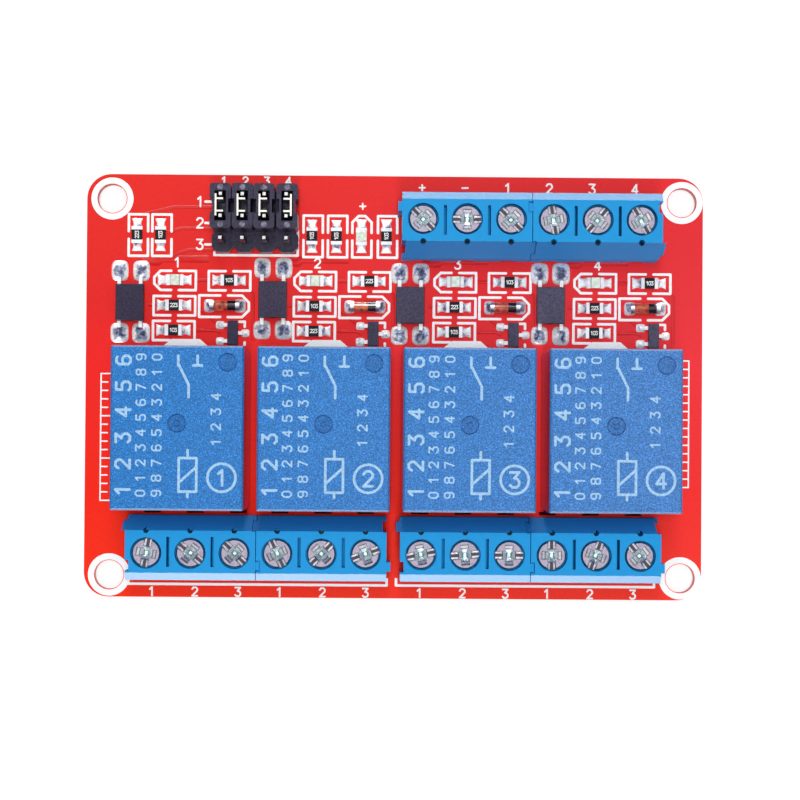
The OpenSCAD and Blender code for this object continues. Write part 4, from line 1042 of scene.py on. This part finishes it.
def track(name, paths, width, z, height=COPPER):
    values = {"Track width": width * MM, "Copper height": height, "Lacquer": mask_trace}
    return grown(name, paths_mesh(name, paths, z), TRACKS, values)


# %% Tracks of the component side
# Routes of one channel: X from the relay's middle, Y on the board.
CHANNEL_ROUTES = [
    [(1.0, 12.65), (2.9, 12.65)], [(1.0, 9.6), (1.9, 9.0), (4.0, 7.2)], [(-4.6, 9.7), (-3.6, 9.7)],
    [(0.8, 6.7), (3.6, 6.7), (4.2, 6.4)], [(6.6, 12.4), (7.9, 11.0), (7.9, 5.4)],
]
SUPPLY_ROUTE = [(-5.2, 14.75), (-3.4, 14.75), (-3.0, 15.15), (2.6, 15.15)]
fine_routes = [[(x + px, py) for px, py in route] for x, y in RELAY_XY for route in CHANNEL_ROUTES]
for row, out in zip(ROW_Y, (6.5, 5.2, 3.8)):
    x, y = HEADER.x - 4.6, row - 0.66
    fine_routes.append([(x, y), (x - 1.0 - out * 0.6, y), (x - 1.8 - out, y - 0.8)])
track("fine_tracks", fine_routes, 0.42, TOP)
broad_routes = [[(x + px, py) for px, py in SUPPLY_ROUTE] for x, y in RELAY_XY]
track("broad_tracks", broad_routes, 0.9, TOP, COPPER * 0.7)

# %% Tracks of the underside
TAILS = sorted((middle(b) / MM for b in solids_of("output_terminal_pins")), key=lambda p: p.x)
PIN_X, PIN_Y, POLE_Y, COMMON_Y, BEND_Y, TAIL_Y = 5.6, -6.8, 7.75, -6.0, -8.2, -15.4
power_routes = []
for n, (x, y) in enumerate(RELAY_XY):
    left, common, right = (tail.x for tail in TAILS[3 * n:3 * n + 3])
    power_routes += [[(x - PIN_X, y + PIN_Y), (left, y + BEND_Y), (left, TAIL_Y)],
                     [(x, y + POLE_Y), (x, y + COMMON_Y), (common, y + BEND_Y), (common, TAIL_Y)],
                     [(x + PIN_X, y + PIN_Y), (right, y + BEND_Y), (right, TAIL_Y)]]
track("power_tracks", power_routes, 2.2, BOARD[0][2])

# %% Plated holes between the layers, X from the relay's middle and Y on the board
VIAS = [(6.6, 6.35), (5.0, 5.15), (-4.75, 8.0), (1.5, 7.0), (7.75, 4.95), (-7.9, 11.6)]
VIA_IN, VIA_OUT, VIA_SIDES = 0.14, 0.28, 16
bm = bmesh.new()
for x, y in RELAY_XY:
    for px, py in VIAS:
        washer(bm, x + px, py, VIA_IN, VIA_OUT, VIA_SIDES)
built("plated_holes", bm, mask_trace)

# %% [markdown]
# ## Painted shade before the relays
# Between the relays and the output terminals short dark patches are painted on the board, one
# behind each terminal, where the narrow gap lies in deep shade.

# %% Patches of painted shade
SHADE_PATCH = [(-1.0, -0.3), (1.0, -0.3), (1.0, 0.1), (-1.0, 0.1)]
bm = bmesh.new()
for p in OUT_SCREWS:
    prism(bm, [(p.x + px, RELAY_FRONT + py) for px, py in SHADE_PATCH], INK * 0.5)
built("dark_slots", bm, painted_shade)

# %% [markdown]
# ## Marks on the chips
# The resistors carry three digits for their value. They are plain codes, printed in the same
# strokes as the legend but finer.

# %% Resistor codes
CODE_HIGH, CODE_PITCH, CODE_LINE = 0.42, 0.68, 0.075
codes = []
for i, (x, y, across) in enumerate(sorted(RESISTORS)):
    codes += number("103" if i % 3 else "223", x, y, CODE_HIGH, 90 if across else 0, CODE_PITCH)
printed("resistor_codes", codes, CODE_LINE, solids_of("resistor_bodies")[0][1].z)

# %% [markdown]
# ## Floor, light and white ground
# The module stands on its solder pins on a pale floor. The floor and the world show white to the
# camera, to reflections and through glass, while the lamps stay at a plain level, so that the
# colours come out as they are written. Lamps that shade and lamps that only shine are kept apart.
# Three soft lamps nearly overhead do the shading. They stand in one row over the board's short
# axis, so their light runs along the gaps between the relays and reaches the board there. Two
# lamps further out shine in the screws and the solder, and two low strips before and behind shine
# in the bevels that lean towards them.

# %% Set the stage
FLOOR_HALF, FLOOR_TONE, FLOOR_GLOW, ROOM_LEVEL = 1.5, 0.35, 0.72, 0.20


def seen(tree):
    """One for a ray from the camera, off a mirror or through glass, and else nought."""
    rays = node(tree, "ShaderNodeLightPath").outputs
    eye = maths(tree, "MAXIMUM", rays["Is Camera Ray"], rays["Is Glossy Ray"])
    return maths(tree, "MAXIMUM", eye, rays["Is Transmission Ray"])


def white_ground(name):
    """A floor that adds to its own shading, for eyes and mirrors only, what it lacks to white."""
    material = bpy.data.materials.new(name)
    tree = blank(material)
    skin = node(tree, "ShaderNodeBsdfDiffuse", {"Color": (FLOOR_TONE, FLOOR_TONE, FLOOR_TONE, 1)})
    glow = node(tree, "ShaderNodeEmission", {
        "Color": WHITE, "Strength": maths(tree, "MULTIPLY", seen(tree), FLOOR_GLOW)})
    both = node(tree, "ShaderNodeAddShader", {0: skin.outputs[0], 1: glow.outputs[0]})
    node(tree, "ShaderNodeOutputMaterial", {"Surface": both.outputs[0]})
    return material


floor_mesh = bpy.data.meshes.new("floor")
corners = [(x * FLOOR_HALF, y * FLOOR_HALF, cad_box[0][2]) for x, y in ((-1, -1), (1, -1), (1, 1), (-1, 1))]
floor_mesh.from_pydata(corners, [], [(0, 1, 2, 3)])
floor_mesh.materials.append(white_ground("white_ground"))
floor = put("floor", floor_mesh)

world = bpy.data.worlds.new("white_room")
bpy.context.scene.world = world
room = blank(world)
level = grey(room, seen(room), ROOM_LEVEL, 1.0, 0.0, 1.0)
sky = node(room, "ShaderNodeBackground", {"Color": WHITE, "Strength": level})
node(room, "ShaderNodeOutputWorld", {"Surface": sky.outputs[0]})

# %% Set the lamps
LAMP_AIM = Vector((0, 0, 0.01))


def lamp(name, place, size, power, shades=True, shines=True):
    """A soft lamp aimed at the board; it shades surfaces, shines in glossy ones, or both."""
    data = bpy.data.lights.new(name, "AREA")
    data.shape = "RECTANGLE"
    data.size, data.size_y = size
    data.energy = power
    obj = put(name, data)
    aim = LAMP_AIM - Vector(place)
    obj.matrix_world = Matrix.Translation(place) @ aim.to_track_quat("-Z", "Y").to_matrix().to_4x4()
    obj.visible_camera, obj.visible_diffuse, obj.visible_glossy = False, shades, shines
    print(name, place, power, "W")


lamp("overhead_lamp", (-0.003, -0.009, 0.70), (0.10, 0.10), 2.0, shines=False)
lamp("front_lamp", (0.0, -0.22, 0.66), (0.08, 0.30), 1.1, shines=False)
lamp("back_lamp", (0.0, 0.22, 0.66), (0.08, 0.30), 1.1, shines=False)
lamp("front_shine", (0.0, -0.38, 0.58), (0.08, 0.30), 1.5, shades=False)
lamp("back_shine", (0.0, 0.38, 0.58), (0.08, 0.30), 1.5, shades=False)
lamp("front_strip", (-0.13, -0.80, 0.03), (0.62, 0.06), 7.8, shades=False)
lamp("back_strip", (0.0, 0.80, 0.03), (0.60, 0.06), 6.0, shades=False)

bpy.context.scene.view_settings.view_transform = "Standard"

# %% [markdown]
# ## End
# The dressing is done.

# %% Finish
print("dressing done")
